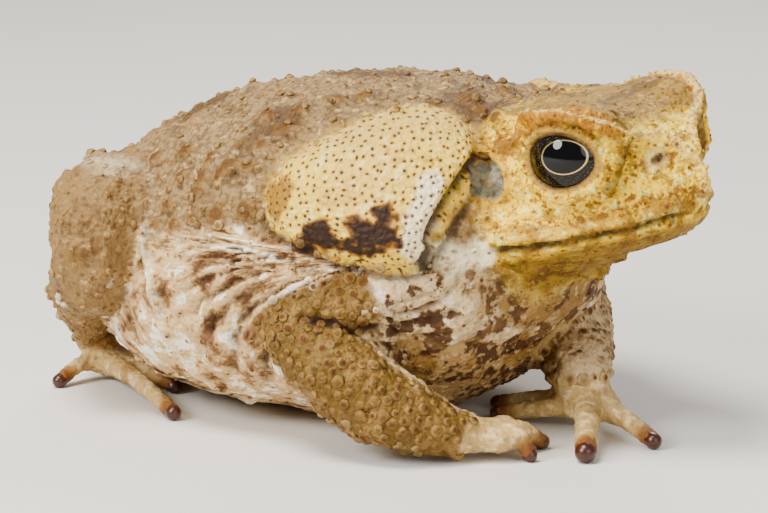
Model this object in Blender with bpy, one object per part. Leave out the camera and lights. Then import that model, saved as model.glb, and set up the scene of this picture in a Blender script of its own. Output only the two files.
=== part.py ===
"""Cane toad (Rhinella marina), a still, life-size model sitting on the floor.

Lengths in this file are millimetres in the toad's own frame: X forward, Y to the toad's left,
Z up, with the floor at Z = 0. The finished pieces are scaled to metres and moved so that the
middle of the model's footprint is the origin.
"""
import math
import random
from functools import partial

import bmesh
import bpy
import numpy as np
from mathutils import Matrix, Vector
from mathutils.bvhtree import BVHTree

# Driving dimensions
GAP = 0.3
MM = 0.001
SEED = 7
SIDES = (("left", 1.0), ("right", -1.0))

# Head frame: its middle lies between the eyes, and the head is turned a little to its right
HEAD_CENTRE = (43.0, 0.3, 48.7)
HEAD_YAW = -5.9
HEAD_PITCH = 3.8
HEAD_ROLL = 5.4

# Eyes, ear drums and nostrils on the head's left side, in the head frame
EYE_RADIUS = 5.7
EYE = (0.6, 13.7, 0.2)
EYE_OUTWARD = (0.22, 1.0, 0.05)
TYMPANUM = (-10.1, 18.0, -2.8)
TYMPANUM_RADII = (2.7, 3.4)
TYMPANUM_OUTWARD = (-0.1, 1.0, 0.1)
TYMPANUM_DEPTH = 5.0
NOSTRIL = (11.2, 4.4, -0.8)
NOSTRIL_RIM = (1.7, 1.6, 1.5)
NOSTRIL_SLOT = ((11.2, 6.0, -1.3), (12.0, 5.7, -0.8), (12.5, 5.2, -0.2))
NOSTRIL_RADIUS = 0.6

# Head sections from the neck to the snout, in the head frame:
# (forward, lip half width, lip height, ridge half width, ridge height, top height, chin height)
HEAD_SECTIONS = (
    (-22.0, 20.0, -14.0, 12.0, 5.0, 5.6, -30.0),
    (-15.0, 21.6, -14.0, 12.0, 6.2, 6.4, -27.0),
    (-9.2, 20.8, -13.5, 11.0, 7.0, 6.8, -22.5),
    (-3.0, 19.4, -12.9, 10.0, 7.4, 7.2, -19.4),
    (3.0, 16.2, -12.1, 9.0, 6.8, 6.6, -16.9),
    (7.4, 12.9, -11.3, 7.2, 4.9, 4.9, -15.6),
    (10.6, 9.6, -10.7, 4.8, 3.4, 3.4, -14.6),
    (13.4, 5.8, -10.0, 2.4, 1.2, 1.4, -12.8),
    (15.2, 2.9, -9.4, 1.4, -1.2, -1.0, -11.0),
    (16.6, 1.3, -8.4, 0.8, -4.6, -4.4, -9.4),
)
# Mouth line on the left side, from its corner to the front, in the head frame
MOUTH_LINE = ((-9.2, 21.0, -13.4), (-1.4, 18.4, -12.6), (6.2, 13.4, -11.3), (10.2, 9.2, -10.6),
              (13.3, 4.9, -9.9), (15.0, 0.0, -9.3))
UPPER_LIP_SET = (-0.1, -0.5, 1.3)
LOWER_LIP_SET = (-1.9, -1.3, -1.6)
LIP_RADIUS = 1.3
LID_EDGE = ((-7.2, 13.6, 6.2), (-3.0, 15.6, 7.2), (2.6, 16.2, 7.3), (7.2, 13.2, 5.4), (9.2, 9.6, 2.9))
LID_EDGE_RADIUS = 1.4
LID_DOME = ((0.5, 11.2, 3.2), (8.4, 5.6, 4.5))
CANTHUS = ((9.2, 9.0, 3.0), (10.4, 7.0, 3.6), (12.0, 4.0, 2.6), (13.4, 2.2, 1.2), (15.0, 0.8, -0.6))
SNOUT_RIDGE = ((14.6, 0.0, 0.0), (15.8, 0.0, -1.6), (17.0, 0.0, -5.0), (17.3, 0.0, -7.0))
EAR_RIDGE = ((-6.8, 14.6, 3.0), (-9.6, 16.8, 2.0), (-13.5, 18.6, 1.0))
EYE_FRONT_RIDGE = ((9.2, 9.6, 2.4), (8.5, 11.0, -1.2), (7.2, 12.2, -4.2))
EYE_REAR_RIDGE = ((-7.0, 13.8, 6.0), (-7.4, 14.2, 2.8), (-6.8, 15.0, -1.5))
RIDGES = ((CANTHUS, 0.9), (EAR_RIDGE, 1.0), (EYE_FRONT_RIDGE, 0.95), (EYE_REAR_RIDGE, 1.2))
SNOUT_RIDGE_RADIUS = 0.8
EYE_OPENING_SHIFT = 4.6
EYE_OPENING = (6.2, 5.6, 5.4)
LID_RING = (5.3, 4.5)
LID_RING_RADIUS = 0.85

# Body sections from the vent to the throat:
# (forward, half width, height of the widest level, top, bottom)
BODY_SECTIONS = (
    (-54.0, 7.0, 24.0, 31.0, 17.0),
    (-50.5, 16.0, 23.0, 37.5, 11.0),
    (-44.0, 25.0, 22.5, 43.5, 6.5),
    (-34.0, 32.5, 22.5, 48.5, 2.6),
    (-22.0, 37.5, 23.0, 52.5, 1.0),
    (-8.0, 39.0, 24.5, 55.3, 0.7),
    (5.0, 36.5, 26.0, 56.0, 1.4),
    (16.0, 31.5, 28.0, 55.5, 3.2),
    (25.0, 25.4, 29.0, 54.0, 9.0),
    (31.0, 18.2, 30.0, 50.0, 16.4),
    (35.5, 10.0, 31.0, 44.0, 21.0),
)
BODY_TOP_SQUARENESS = 2.1
BODY_BELLY_SQUARENESS = 2.5

# Parotoid gland on the left side: front, rear, top and bottom of its outline, and its thickness
PAROTOID = ((27.6, 19.0, 45.0), (-2.0, 33.0, 38.5), (16.5, 19.5, 53.0), (17.0, 33.0, 31.0))
PAROTOID_HALF_THICKNESS = 5.2
TEMPLE = ((-9.8, 14.2, -3.2), (6.4, 4.6, 6.4))

# Warts: a row from the gland to the hip on the left side, and a scatter over the back
WART_ROW = ((-2.5, 36.0, 37.4), (-12.0, 37.4, 35.0), (-23.5, 36.2, 33.2))
WART_ROW_COUNT = 5
WART_ROW_RADIUS = 2.2
WART_COUNT = 50
WART_RADII = (1.5, 2.7)
WART_SPACING = 5.6
WART_REGION = ((-47.0, 20.0), 70.0)
WART_SUNK = 0.55
BACK_AXIS_HEIGHT = 24.0

# Limbs on the toad's left side, as centres and radii from the body outwards
UPPER_ARM = {
    "right": (((20.5, 21.5, 25.5), 6.5), ((13.5, 29.5, 23.6), 5.4), ((7.0, 33.6, 18.8), 6.2)),
    "left": (((22.0, 20.5, 26.0), 6.5), ((18.5, 26.0, 24.6), 5.8), ((14.5, 30.0, 20.3), 6.6)),
}
FOREARM = {
    "right": (((7.0, 33.6, 18.8), 6.2), ((14.0, 33.4, 13.8), 6.7), ((22.0, 31.0, 8.2), 6.3),
              ((29.0, 26.0, 5.1), 4.3), ((33.2, 22.0, 4.1), 2.8)),
    "left": (((14.5, 30.0, 20.3), 6.6), ((20.5, 22.7, 16.5), 6.9), ((28.4, 13.1, 11.7), 6.3),
             ((32.8, 7.8, 9.4), 5.4), ((34.4, 5.8, 8.4), 4.8)),
}
THIGH = (((-40.0, 11.0, 27.0), 12.0), ((-39.0, 22.0, 30.5), 10.6), ((-35.5, 32.0, 32.5), 9.0),
         ((-32.0, 38.0, 30.5), 7.6))
SHANK = (((-32.0, 38.0, 29.5), 7.4), ((-33.0, 37.0, 24.2), 6.8), ((-39.0, 32.0, 20.8), 6.2),
         ((-46.0, 24.5, 15.6), 5.0))
TARSUS = (((-46.5, 23.5, 14.0), 4.6), ((-49.5, 19.0, 8.0), 3.3), ((-48.5, 16.0, 4.0), 3.0))

# Digits on the toad's left side: root, knuckle and tip of each, then its radius
PALM = {"right": ((34.6, 19.8, 3.5), (4.4, 4.0, 2.5)), "left": ((36.8, 5.3, 4.3), (5.2, 5.2, 2.9))}
FINGERS = {
    "right": (((32.4, 18.8, 3.8), (29.8, 15.6, 3.8), (27.0, 12.2, 1.3), 1.4),
              ((33.2, 17.8, 4.0), (32.6, 13.4, 4.0), (31.2, 8.8, 1.3), 1.5),
              ((34.0, 18.8, 4.0), (36.2, 14.8, 4.0), (37.2, 10.2, 1.3), 1.5),
              ((34.6, 20.4, 4.2), (38.6, 18.8, 4.3), (40.0, 17.9, 1.2), 1.4)),
    "left": (((34.5, 6.2, 4.2), (26.5, 6.8, 3.4), (18.0, 6.6, 1.4), 1.5),
             ((35.5, 4.6, 4.0), (28.8, 2.6, 2.8), (21.8, 0.8, 1.3), 1.5),
             ((38.0, 2.5, 4.6), (42.5, -5.0, 3.4), (47.0, -12.6, 1.7), 2.0),
             ((39.5, 5.0, 4.2), (45.2, 3.8, 2.9), (51.0, 1.2, 1.4), 1.6)),
}
ROOT_SWELL = 0.5
TIP_SHARE = 0.9
FOOT_PAD = ((-46.5, 17.0, 3.0), (5.0, 4.2, 2.4))
TOES = (((-48.0, 18.0, 3.2), (-49.0, 22.5, 3.0), (-49.0, 27.5, 1.2), 1.4),
        ((-44.5, 19.0, 3.2), (-32.5, 26.5, 3.4), (-19.8, 32.8, 1.3), 1.5),
        ((-43.5, 17.5, 3.2), (-37.0, 18.5, 3.3), (-31.5, 18.5, 1.3), 1.5),
        ((-43.5, 15.5, 3.2), (-39.0, 14.0, 3.2), (-34.5, 12.0, 1.2), 1.4),
        ((-45.0, 13.5, 3.0), (-42.5, 11.0, 2.8), (-39.5, 8.0, 1.2), 1.3))

# Lines that part the head from the body and from the lower jaw, as (forward, height) in the head frame
NECK_LINE = ((-16.5, 34.0), (-13.8, 0.0), (-13.4, -14.0), (-10.0, -20.5), (-3.0, -25.5), (5.0, -29.0))
JAW_LINE = ((24.0, -8.8), (15.5, -9.3), (7.2, -11.3), (-1.0, -12.6), (-9.2, -13.4), (-16.0, -15.4))
KNIFE_REACH = 34.0

# Discs that part wrists, ankles, elbows and knees on the left side: (centre, facing, radius)
WRIST_CUT = {"right": ((32.2, 22.8, 4.7), (0.74, -0.62, -0.25), 6.0),
             "left": ((32.8, 7.8, 9.4), (0.45, -0.45, -0.77), 8.5)}
ANKLE_CUT = ((-47.5, 22.2, 11.8), (-0.55, -0.45, -0.7), 12.5)
KNEE_CUT = ((-37.0, 35.0, 25.6), (0.25, -0.3, 0.92), 25.0)
ELBOW_REACH = 24.0
ABOVE_ELBOW = (2.0, 4.5, 6.5)
SLEEVE = 2.6
TRUNK_CLEARANCE = 0.25
TRIANGLES = 6600
SCRAP = 60
FLOOR_BLOCK = (150.0, 20.0)

# Surfaces: (colour as sRGB, roughness)
SURFACES = {
    "head": ((176, 140, 78), 0.5), "lower_jaw": ((168, 128, 72), 0.5), "eye": ((20, 16, 16), 0.08),
    "tympanum": ((138, 132, 118), 0.5), "parotoid": ((188, 164, 112), 0.5),
    "torso": ((160, 140, 108), 0.6), "upper_arm": ((150, 124, 84), 0.6), "forearm": ((150, 124, 84), 0.6),
    "hand": ((200, 176, 152), 0.5), "thigh": ((150, 120, 84), 0.6), "shank": ((150, 120, 84), 0.6),
    "foot": ((176, 152, 124), 0.5),
}

# Grain of each fusing stage and how much it is eased afterwards
CORE_GRAIN, CORE_EASE = 1.1, 12
SLEEVE_GRAIN = 1.4
LIMB_GRAIN, LIMB_EASE = 0.7, 4
FACE_GRAIN, FACE_EASE = 0.6, 2


def head_frame():
    """Matrix from the head frame to the toad's frame."""
    turn = Matrix.Rotation(math.radians(HEAD_YAW), 4, "Z")
    turn = turn @ Matrix.Rotation(math.radians(-HEAD_PITCH), 4, "Y")
    turn = turn @ Matrix.Rotation(math.radians(HEAD_ROLL), 4, "X")
    return Matrix.Translation(HEAD_CENTRE) @ turn


def flipped(point, side):
    """The point on the given side, where points are listed for the left."""
    return (point[0], point[1] * side, point[2])


def smooth_rows(rows, steps):
    """Rows of numbers joined by Catmull-Rom curves, with the given steps in each span."""
    table = np.asarray(rows, float)
    padded = np.vstack([2 * table[0] - table[1], table, 2 * table[-1] - table[-2]])
    drawn = []
    for index in range(len(table) - 1):
        before, start, end, after = padded[index:index + 4]
        for t in np.arange(steps) / steps:
            drawn.append(0.5 * (2 * start + (end - before) * t
                                + (2 * before - 5 * start + 4 * end - after) * t ** 2
                                + (3 * start - before - 3 * end + after) * t ** 3))
    drawn.append(table[-1])
    return np.array(drawn)


def add_rings(bm, rings, matrix=None):
    """A closed solid skinned over rings of points, with a face over each end."""
    loops = [[bm.verts.new(point) for point in ring] for ring in rings]
    faces = [bm.faces.new(loops[0]), bm.faces.new(loops[-1])]
    for near, far in zip(loops, loops[1:]):
        for k in range(len(near)):
            after = (k + 1) % len(near)
            faces.append(bm.faces.new((near[k], near[after], far[after], far[k])))
    bmesh.ops.recalc_face_normals(bm, faces=faces)
    if matrix:
        bmesh.ops.transform(bm, matrix=matrix, verts=[vert for loop in loops for vert in loop])


def tube_rings(path, radii, sides=18, caps=4):
    """Rings square to a path, closed down in a half circle at both ends."""
    path = np.asarray(path, float)
    radii = np.asarray(radii, float)
    tangents = np.gradient(path, axis=0)
    tangents /= np.linalg.norm(tangents, axis=1)[:, None]
    bends = np.linspace(80.0, 0.0, caps, endpoint=False) * math.pi / 180.0
    starts = [(path[0] - tangents[0] * radii[0] * math.sin(a), radii[0] * math.cos(a), tangents[0])
              for a in bends]
    ends = [(path[-1] + tangents[-1] * radii[-1] * math.sin(a), radii[-1] * math.cos(a), tangents[-1])
            for a in bends[::-1]]
    across = np.cross(tangents[0], (0.3, 0.2, 1.0))
    rings = []
    for centre, radius, along in starts + list(zip(path, radii, tangents)) + ends:
        across = across - along * across.dot(along)
        across /= np.linalg.norm(across)
        up = np.cross(along, across)
        turn = np.linspace(0.0, 2.0 * math.pi, sides, endpoint=False)
        rings.append(centre + radius * (np.outer(np.cos(turn), across) + np.outer(np.sin(turn), up)))
    return rings


def add_limb(bm, stations, side, matrix=None, steps=5):
    """A round limb through (centre, radius) stations listed for the left side."""
    rows = [(*flipped(centre, side), radius) for centre, radius in stations]
    drawn = smooth_rows(rows, steps)
    add_rings(bm, tube_rings(drawn[:, :3], drawn[:, 3]), matrix)


def add_cord(bm, path, radius, side, matrix=None, steps=5):
    """A ridge of even thickness along a path listed for the left side."""
    add_limb(bm, [(point, radius) for point in path], side, matrix, steps)


def add_ball(bm, centre, radii, side, matrix=None, detail=3):
    """An ellipsoid with its centre listed for the left side."""
    place = Matrix.Translation(flipped(centre, side)) @ Matrix.Diagonal((*radii, 1.0))
    if matrix:
        place = matrix @ place
    bmesh.ops.create_icosphere(bm, subdivisions=detail, radius=1.0, matrix=place)


def add_body(bm, grow=0.0):
    """The trunk, from rings that are squarer under the belly than over the back."""
    turn = np.linspace(0.0, 2.0 * math.pi, 36, endpoint=False)
    wide, high = np.cos(turn), np.sin(turn)
    square = np.where(high > 0, BODY_TOP_SQUARENESS, BODY_BELLY_SQUARENESS)
    rings = []
    for forward, half, level, top, bottom in smooth_rows(BODY_SECTIONS, 3):
        y = (half + grow) * np.sign(wide) * np.abs(wide) ** (2.0 / square)
        reach = np.where(high > 0, top - level, level - bottom) + grow
        z = level + reach * np.sign(high) * np.abs(high) ** (2.0 / square)
        rings.append(np.column_stack([np.full_like(y, forward), y, z]))
    add_rings(bm, rings)


def add_skull(bm, matrix):
    """The head without its ridges: lips at the widest, bony edges above, throat below."""
    rings = []
    for forward, lip, lip_height, ridge, ridge_height, top, chin in smooth_rows(HEAD_SECTIONS, 4):
        half = [(0.0, top), (0.55 * ridge, 0.5 * (top + ridge_height)), (ridge, ridge_height),
                (0.5 * (ridge + lip) + 0.4, 0.5 * (ridge_height + lip_height)),
                (lip, lip_height + 2.0), (lip, lip_height - 1.0),
                (0.86 * lip, lip_height + 0.45 * (chin - lip_height)),
                (0.5 * lip, lip_height + 0.88 * (chin - lip_height)), (0.0, chin)]
        loop = half + [(-y, z) for y, z in half[-2:0:-1]]
        curve = smooth_rows(loop + loop[:1], 3)[:-1]
        rings.append(np.column_stack([np.full(len(curve), forward), curve]))
    add_rings(bm, rings, matrix)


def parotoid_axes(side):
    """Centre, directions and half sizes of the gland behind the eye."""
    front, rear, top, bottom = (Vector(flipped(point, side)) for point in PAROTOID)
    centre = (front + rear + top + bottom) / 4.0
    along = (front - rear)
    up = (top - bottom)
    long_half, high_half = along.length / 2.0, up.length / 2.0
    along.normalize()
    up = (up - along * up.dot(along)).normalized()
    out = along.cross(up)
    turn = Matrix((along, up, out)).transposed().to_4x4()
    return Matrix.Translation(centre) @ turn, (long_half, high_half)


def add_gland(side, bm, swell=0.0):
    """One gland as an ellipsoid sunk in the shoulder."""
    place, (long_half, high_half) = parotoid_axes(side)
    add_ball(bm, (0.0, 0.0, 0.0), (long_half + swell, high_half + swell, PAROTOID_HALF_THICKNESS + swell),
             1.0, place)


def moved(path, shift):
    """The path shifted, but still ending on the middle line."""
    shifted = [tuple(p + d for p, d in zip(point, shift)) for point in path]
    return shifted[:-1] + [(shifted[-1][0], 0.0, shifted[-1][2])]


def add_face(bm, matrix):
    """Lids, bony ridges, lips and the rims under the eyes."""
    for _, side in SIDES:
        add_ball(bm, *LID_DOME, side, matrix)
        add_ball(bm, *TEMPLE, side, matrix)
        add_cord(bm, LID_EDGE, LID_EDGE_RADIUS, side, matrix)
        for ridge, radius in RIDGES:
            add_cord(bm, ridge, radius, side, matrix)
        add_cord(bm, moved(MOUTH_LINE, UPPER_LIP_SET), LIP_RADIUS, side, matrix)
        add_cord(bm, moved(MOUTH_LINE, LOWER_LIP_SET), LIP_RADIUS, side, matrix)
    add_cord(bm, SNOUT_RIDGE, SNOUT_RIDGE_RADIUS, 1.0, matrix)


def eye_axes():
    """Directions along the lid, up and outward at the left eye, in the head frame."""
    out = Vector(EYE_OUTWARD).normalized()
    forward = (Vector((1.0, 0.0, 0.0)) - out * out.x).normalized()
    return forward, out.cross(forward) * -1.0, out


def lid_ring():
    """The rim of the lids on the left eyeball: an ellipse seen from outside, in the head frame."""
    forward, up, out = eye_axes()
    points = []
    for turn in np.radians(np.arange(0, 361, 24)):
        along, high = LID_RING[0] * math.cos(turn), LID_RING[1] * math.sin(turn)
        deep = math.sqrt(EYE_RADIUS ** 2 - along ** 2 - high ** 2)
        points.append(tuple(Vector(EYE) + forward * along + up * high + out * deep))
    return points


def add_eye_opening(bm, side, matrix):
    """The room between the lids in front of one eyeball."""
    out = Vector(EYE_OUTWARD).normalized()
    centre = Vector(EYE) + out * EYE_OPENING_SHIFT
    add_ball(bm, centre, EYE_OPENING, side, matrix)


def as_object(bm, name):
    """An object in the scene from a bmesh, which is freed."""
    mesh = bpy.data.meshes.new(name)
    bm.to_mesh(mesh)
    bm.free()
    obj = bpy.data.objects.new(name, mesh)
    bpy.context.scene.collection.objects.link(obj)
    return obj


def settle(obj):
    """Replace the object's mesh by what its modifiers make of it."""
    made = bpy.data.meshes.new_from_object(obj.evaluated_get(bpy.context.evaluated_depsgraph_get()))
    worn = obj.data
    obj.modifiers.clear()
    obj.data = made
    bpy.data.meshes.remove(worn)


def fuse(bm, name, grain, ease):
    """One closed surface around every solid in the bmesh, then eased; returned as a bmesh."""
    obj = as_object(bm, name)
    remesh = obj.modifiers.new("Remesh", "REMESH")
    remesh.mode = "VOXEL"
    remesh.voxel_size = grain
    smooth = obj.modifiers.new("Smooth", "SMOOTH")
    smooth.factor = 0.5
    smooth.iterations = ease
    settle(obj)
    fused = bmesh.new()
    fused.from_mesh(obj.data)
    bpy.data.objects.remove(obj)
    return fused


def whole_toad():
    """The whole animal as one surface, before it is parted."""
    head = head_frame()
    bm = bmesh.new()
    add_body(bm)
    add_skull(bm, head)
    for name, side in SIDES:
        add_limb(bm, UPPER_ARM[name], side)
        add_limb(bm, THIGH, side)
    bm = fuse(bm, "core", CORE_GRAIN, CORE_EASE)
    for name, side in SIDES:
        add_gland(side, bm)
        add_limb(bm, FOREARM[name], side)
        add_ball(bm, *PALM[name], side)
        add_limb(bm, SHANK, side)
        add_limb(bm, TARSUS, side)
        add_ball(bm, *FOOT_PAD, side)
    bm = fuse(bm, "limbs", LIMB_GRAIN, LIMB_EASE)
    for name, side in SIDES:
        for root, knuckle, tip, radius in FINGERS[name] + TOES:
            stations = ((root, radius + ROOT_SWELL), (knuckle, radius), (tip, radius * TIP_SHARE))
            add_limb(bm, stations, side)
    add_face(bm, head)
    bm = hollowed(fuse(bm, "face", FACE_GRAIN, 1), (add_eye_opening,), head)
    for _, side in SIDES:
        add_cord(bm, lid_ring(), LID_RING_RADIUS, side, head, 2)
        add_ball(bm, NOSTRIL, NOSTRIL_RIM, side, head)
    bm = hollowed(fuse(bm, "lids", FACE_GRAIN, 1), (add_eyeball, add_nostril_pit), head)
    return fuse(bm, "toad", FACE_GRAIN, FACE_EASE)


def hollowed(bm, add_tools, matrix):
    """The surface with tools taken out of it on both sides, as a new bmesh."""
    obj = as_object(bm, "hollowed")
    for _, side in SIDES:
        for add_tool in add_tools:
            room = bmesh.new()
            add_tool(room, side, matrix)
            combine(obj, tool_from(room), "DIFFERENCE")
    left = bmesh.new()
    left.from_mesh(obj.data)
    bpy.data.objects.remove(obj)
    return left


def add_nostril_pit(bm, side, matrix):
    """The pit of one nostril, a slanting slot."""
    add_cord(bm, NOSTRIL_SLOT, NOSTRIL_RADIUS, side, matrix)


def add_eyeball(bm, side, matrix):
    """One round eyeball."""
    add_ball(bm, EYE, (EYE_RADIUS,) * 3, side, matrix, 4)


def tool_from(bm):
    """A cutting object from a bmesh; the build leaves tools out."""
    tool = as_object(bm, "tool")
    tool.hide_render = True
    tool.display_type = "WIRE"
    return tool


def combine(target, tool, operation, solver="EXACT"):
    """Boolean of two closed objects, worn by the first; the tool is used up."""
    cut = target.modifiers.new("Boolean", "BOOLEAN")
    cut.operation = operation
    cut.solver = solver
    cut.object = tool
    settle(target)
    bpy.data.objects.remove(tool)


def carve(body, name, add_tool):
    """Take the piece inside a shape out of the body, leaving the gap all round it."""
    piece = copied(body, name)
    for obj, operation, swell in ((piece, "INTERSECT", 0.0), (body, "DIFFERENCE", GAP)):
        bm = bmesh.new()
        add_tool(bm, swell)
        combine(obj, tool_from(bm), operation)
    return piece


def add_drum(matrix, side, bm, swell):
    """The short plug that holds one ear drum."""
    out = Vector(flipped(TYMPANUM_OUTWARD, side)).normalized()
    turn = out.to_track_quat("Z", "X").to_matrix().to_4x4()
    wide, high = (radius + swell for radius in TYMPANUM_RADII)
    place = matrix @ Matrix.Translation(flipped(TYMPANUM, side)) @ turn
    place = place @ Matrix.Diagonal((high, wide, 1.0, 1.0))
    depth = TYMPANUM_DEPTH + 2.0 * swell
    bmesh.ops.create_cone(bm, cap_ends=True, segments=28, radius1=1.0, radius2=1.0, depth=depth,
                          matrix=place)


def add_bent_knife(bm, line, matrix):
    """A sheet as thick as the gap that follows a line of (forward, height) across the whole head."""
    near, far = [], []
    for index, point in enumerate(line):
        before = Vector(line[max(index - 1, 0)])
        after = Vector(line[min(index + 1, len(line) - 1)])
        along = (after - before).normalized()
        across = Vector((-along.y, along.x)) * GAP / 2.0
        near.append(Vector(point) + across)
        far.append(Vector(point) - across)
    outline = near + far[::-1]
    add_rings(bm, [[(x, y, z) for x, z in outline] for y in (-KNIFE_REACH, KNIFE_REACH)], matrix)


def trunk_tool(grow):
    """The trunk, grown by a little, as a tool."""
    bm = bmesh.new()
    add_body(bm, grow)
    return tool_from(bm)


def cut(body, add_knife):
    """Cut the body with what a function adds to an empty bmesh."""
    bm = bmesh.new()
    add_knife(bm)
    combine(body, tool_from(bm), "DIFFERENCE")


def digit_stretches(root_point, digits):
    """Digits as limbs, each from the middle of the hand or foot to its tip."""
    return [((root_point, radius), (root, radius), (knuckle, radius), (tip, radius))
            for root, knuckle, tip, radius in digits]


def sleeve(stretches, side, swell, clearance):
    """The room round a limb outside the trunk, as a tool."""
    bm = bmesh.new()
    for stations in stretches:
        add_limb(bm, [(centre, radius + swell) for centre, radius in stations], side)
    room = tool_from(fuse(bm, "sleeve", SLEEVE_GRAIN, 0))
    combine(room, trunk_tool(clearance), "DIFFERENCE")
    return room


def cut_limb(body, side, stretches):
    """Cut a limb off along the trunk's own surface and along a sleeve round the limb."""
    knife = sleeve(stretches, side, SLEEVE + GAP, TRUNK_CLEARANCE)
    combine(knife, sleeve(stretches, side, SLEEVE, TRUNK_CLEARANCE + GAP), "DIFFERENCE")
    combine(body, knife, "DIFFERENCE", "MANIFOLD")


def fold_facing(near, joint, far):
    """The direction that a cut faces when it halves the angle of a folded limb."""
    centre = Vector(joint[0])
    return (Vector(near[0]) - centre).normalized() - (Vector(far[0]) - centre).normalized()


def cut_joint(body, side, centre, normal, radius):
    """Cut a limb across with a disc that stops short of the trunk."""
    turn = Vector(flipped(normal, side)).to_track_quat("Z", "Y").to_matrix().to_4x4()
    bm = bmesh.new()
    bmesh.ops.create_cone(bm, cap_ends=True, segments=24, radius1=radius, radius2=radius, depth=GAP,
                          matrix=Matrix.Translation(flipped(centre, side)) @ turn)
    knife = tool_from(bm)
    combine(knife, trunk_tool(TRUNK_CLEARANCE + GAP / 2.0), "DIFFERENCE")
    combine(body, knife, "DIFFERENCE", "MANIFOLD")


def joint_cuts(name):
    """Centre, facing and radius of the four cuts across one side's limbs."""
    upper, fore = UPPER_ARM[name], FOREARM[name]
    elbow = (fore[0][0], fold_facing(upper[0], fore[0], fore[2]), ELBOW_REACH)
    return elbow, WRIST_CUT[name], KNEE_CUT, ANKLE_CUT


def islands(obj):
    """The vertex index sets of the object's separate closed surfaces."""
    bm = bmesh.new()
    bm.from_mesh(obj.data)
    bm.verts.ensure_lookup_table()
    left = set(range(len(bm.verts)))
    found = []
    while left:
        start = left.pop()
        group, front = {start}, [start]
        while front:
            for edge in bm.verts[front.pop()].link_edges:
                for vert in edge.verts:
                    if vert.index in left:
                        left.remove(vert.index)
                        group.add(vert.index)
                        front.append(vert.index)
        found.append(group)
    bm.free()
    return found


def keep_island(obj, group):
    """Delete all of the object's mesh but one closed surface, and split it into triangles."""
    bm = bmesh.new()
    bm.from_mesh(obj.data)
    bm.verts.ensure_lookup_table()
    bmesh.ops.delete(bm, geom=[vert for vert in bm.verts if vert.index not in group], context="VERTS")
    bmesh.ops.triangulate(bm, faces=bm.faces)
    bm.to_mesh(obj.data)
    bm.free()


def copied(obj, name):
    """A copy of an object that has its own mesh."""
    twin = obj.copy()
    twin.data = obj.data.copy()
    twin.name = name
    bpy.context.scene.collection.objects.link(twin)
    return twin


def probes(head):
    """A point inside every node that is parted from the toad by knives."""
    found = {"head": head @ Vector((0.0, 0.0, 0.0)), "lower_jaw": head @ Vector((3.0, 0.0, -14.5)),
             "torso": Vector((-10.0, 0.0, 28.0))}
    for name, side in SIDES:
        spots = {"upper_arm": tuple(Vector(FOREARM[name][0][0]) + Vector(ABOVE_ELBOW)),
                 "forearm": FOREARM[name][2][0],
                 "hand": PALM[name][0], "thigh": THIGH[2][0],
                 "shank": SHANK[2][0], "foot": FOOT_PAD[0]}
        found.update({f"{part}_{name}": Vector(flipped(spot, side)) for part, spot in spots.items()})
    return found


def part_toad(body, head):
    """Part the head, jaw and limbs with knives, and return the pieces as named objects."""
    cut(body, lambda bm: add_bent_knife(bm, NECK_LINE, head))
    cut(body, lambda bm: add_bent_knife(bm, JAW_LINE, head))
    for name, side in SIDES:
        for centre, facing, radius in joint_cuts(name):
            cut_joint(body, side, centre, facing, radius)
        fingers = digit_stretches(PALM[name][0], FINGERS[name])
        cut_limb(body, side, (UPPER_ARM[name], FOREARM[name], *fingers))
        cut_limb(body, side, (THIGH, SHANK, TARSUS, *digit_stretches(FOOT_PAD[0], TOES)))
    groups = [group for group in islands(body) if len(group) > SCRAP]
    points = np.array([vert.co for vert in body.data.vertices])
    made = []
    for name, probe in probes(head).items():
        reach = [np.linalg.norm(points[list(group)] - np.array(probe), axis=1).min() for group in groups]
        piece = copied(body, name)
        keep_island(piece, groups[int(np.argmin(reach))])
        made.append(piece)
    bpy.data.objects.remove(body)
    return made


def rest_on_floor(body):
    """Cut off what sinks below the floor, which leaves small flats at one level."""
    wide, deep = 2.0 * FLOOR_BLOCK[0], FLOOR_BLOCK[1]
    place = Matrix.Translation((0.0, 0.0, -deep / 2.0)) @ Matrix.Diagonal((wide, wide, deep, 1.0))
    cut(body, lambda bm: bmesh.ops.create_cube(bm, size=1.0, matrix=place))


def wart_seats(surface):
    """Where the warts sit, as (point, normal, radius): two rows and a seeded scatter over the back."""
    draw = random.Random(SEED)
    seats = []
    for _, side in SIDES:
        path = smooth_rows([flipped(point, side) for point in WART_ROW], WART_ROW_COUNT)
        for point in path[::2]:
            near = surface.find_nearest(Vector(point))
            seats.append((near[0], near[1], WART_ROW_RADIUS))
    (rear, front), spread = WART_REGION
    while len(seats) < WART_COUNT:
        turn = math.radians(draw.uniform(-spread, spread))
        origin = Vector((draw.uniform(rear, front), 0.0, BACK_AXIS_HEIGHT))
        point, normal, _, _ = surface.ray_cast(origin, Vector((0.0, math.sin(turn), math.cos(turn))))
        if min((point - seat[0]).length for seat in seats) > WART_SPACING and not in_gland(point):
            seats.append((point, normal, draw.uniform(*WART_RADII)))
    return seats


def in_gland(point):
    """Whether a point lies on one of the glands or close beside it."""
    place, halves = parotoid_axes(1.0 if point.y > 0.0 else -1.0)
    local = place.inverted() @ point
    along, high = (half + WART_SPACING / 2.0 for half in halves)
    return math.hypot(local.x / along, local.y / high) < 1.0


def add_warts(body):
    """Round warts, sunk in the back by a part of their radius."""
    mesh = bmesh.new()
    mesh.from_mesh(body.data)
    seats = wart_seats(BVHTree.FromBMesh(mesh))
    mesh.free()
    bm = bmesh.new()
    for point, normal, radius in seats:
        outward = normal if normal.dot(point - Vector((point.x, 0.0, BACK_AXIS_HEIGHT))) > 0.0 else -normal
        place = Matrix.Translation(point - outward * radius * WART_SUNK)
        bmesh.ops.create_icosphere(bm, subdivisions=1, radius=radius, matrix=place)
    combine(body, tool_from(bm), "UNION", "MANIFOLD")


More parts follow.
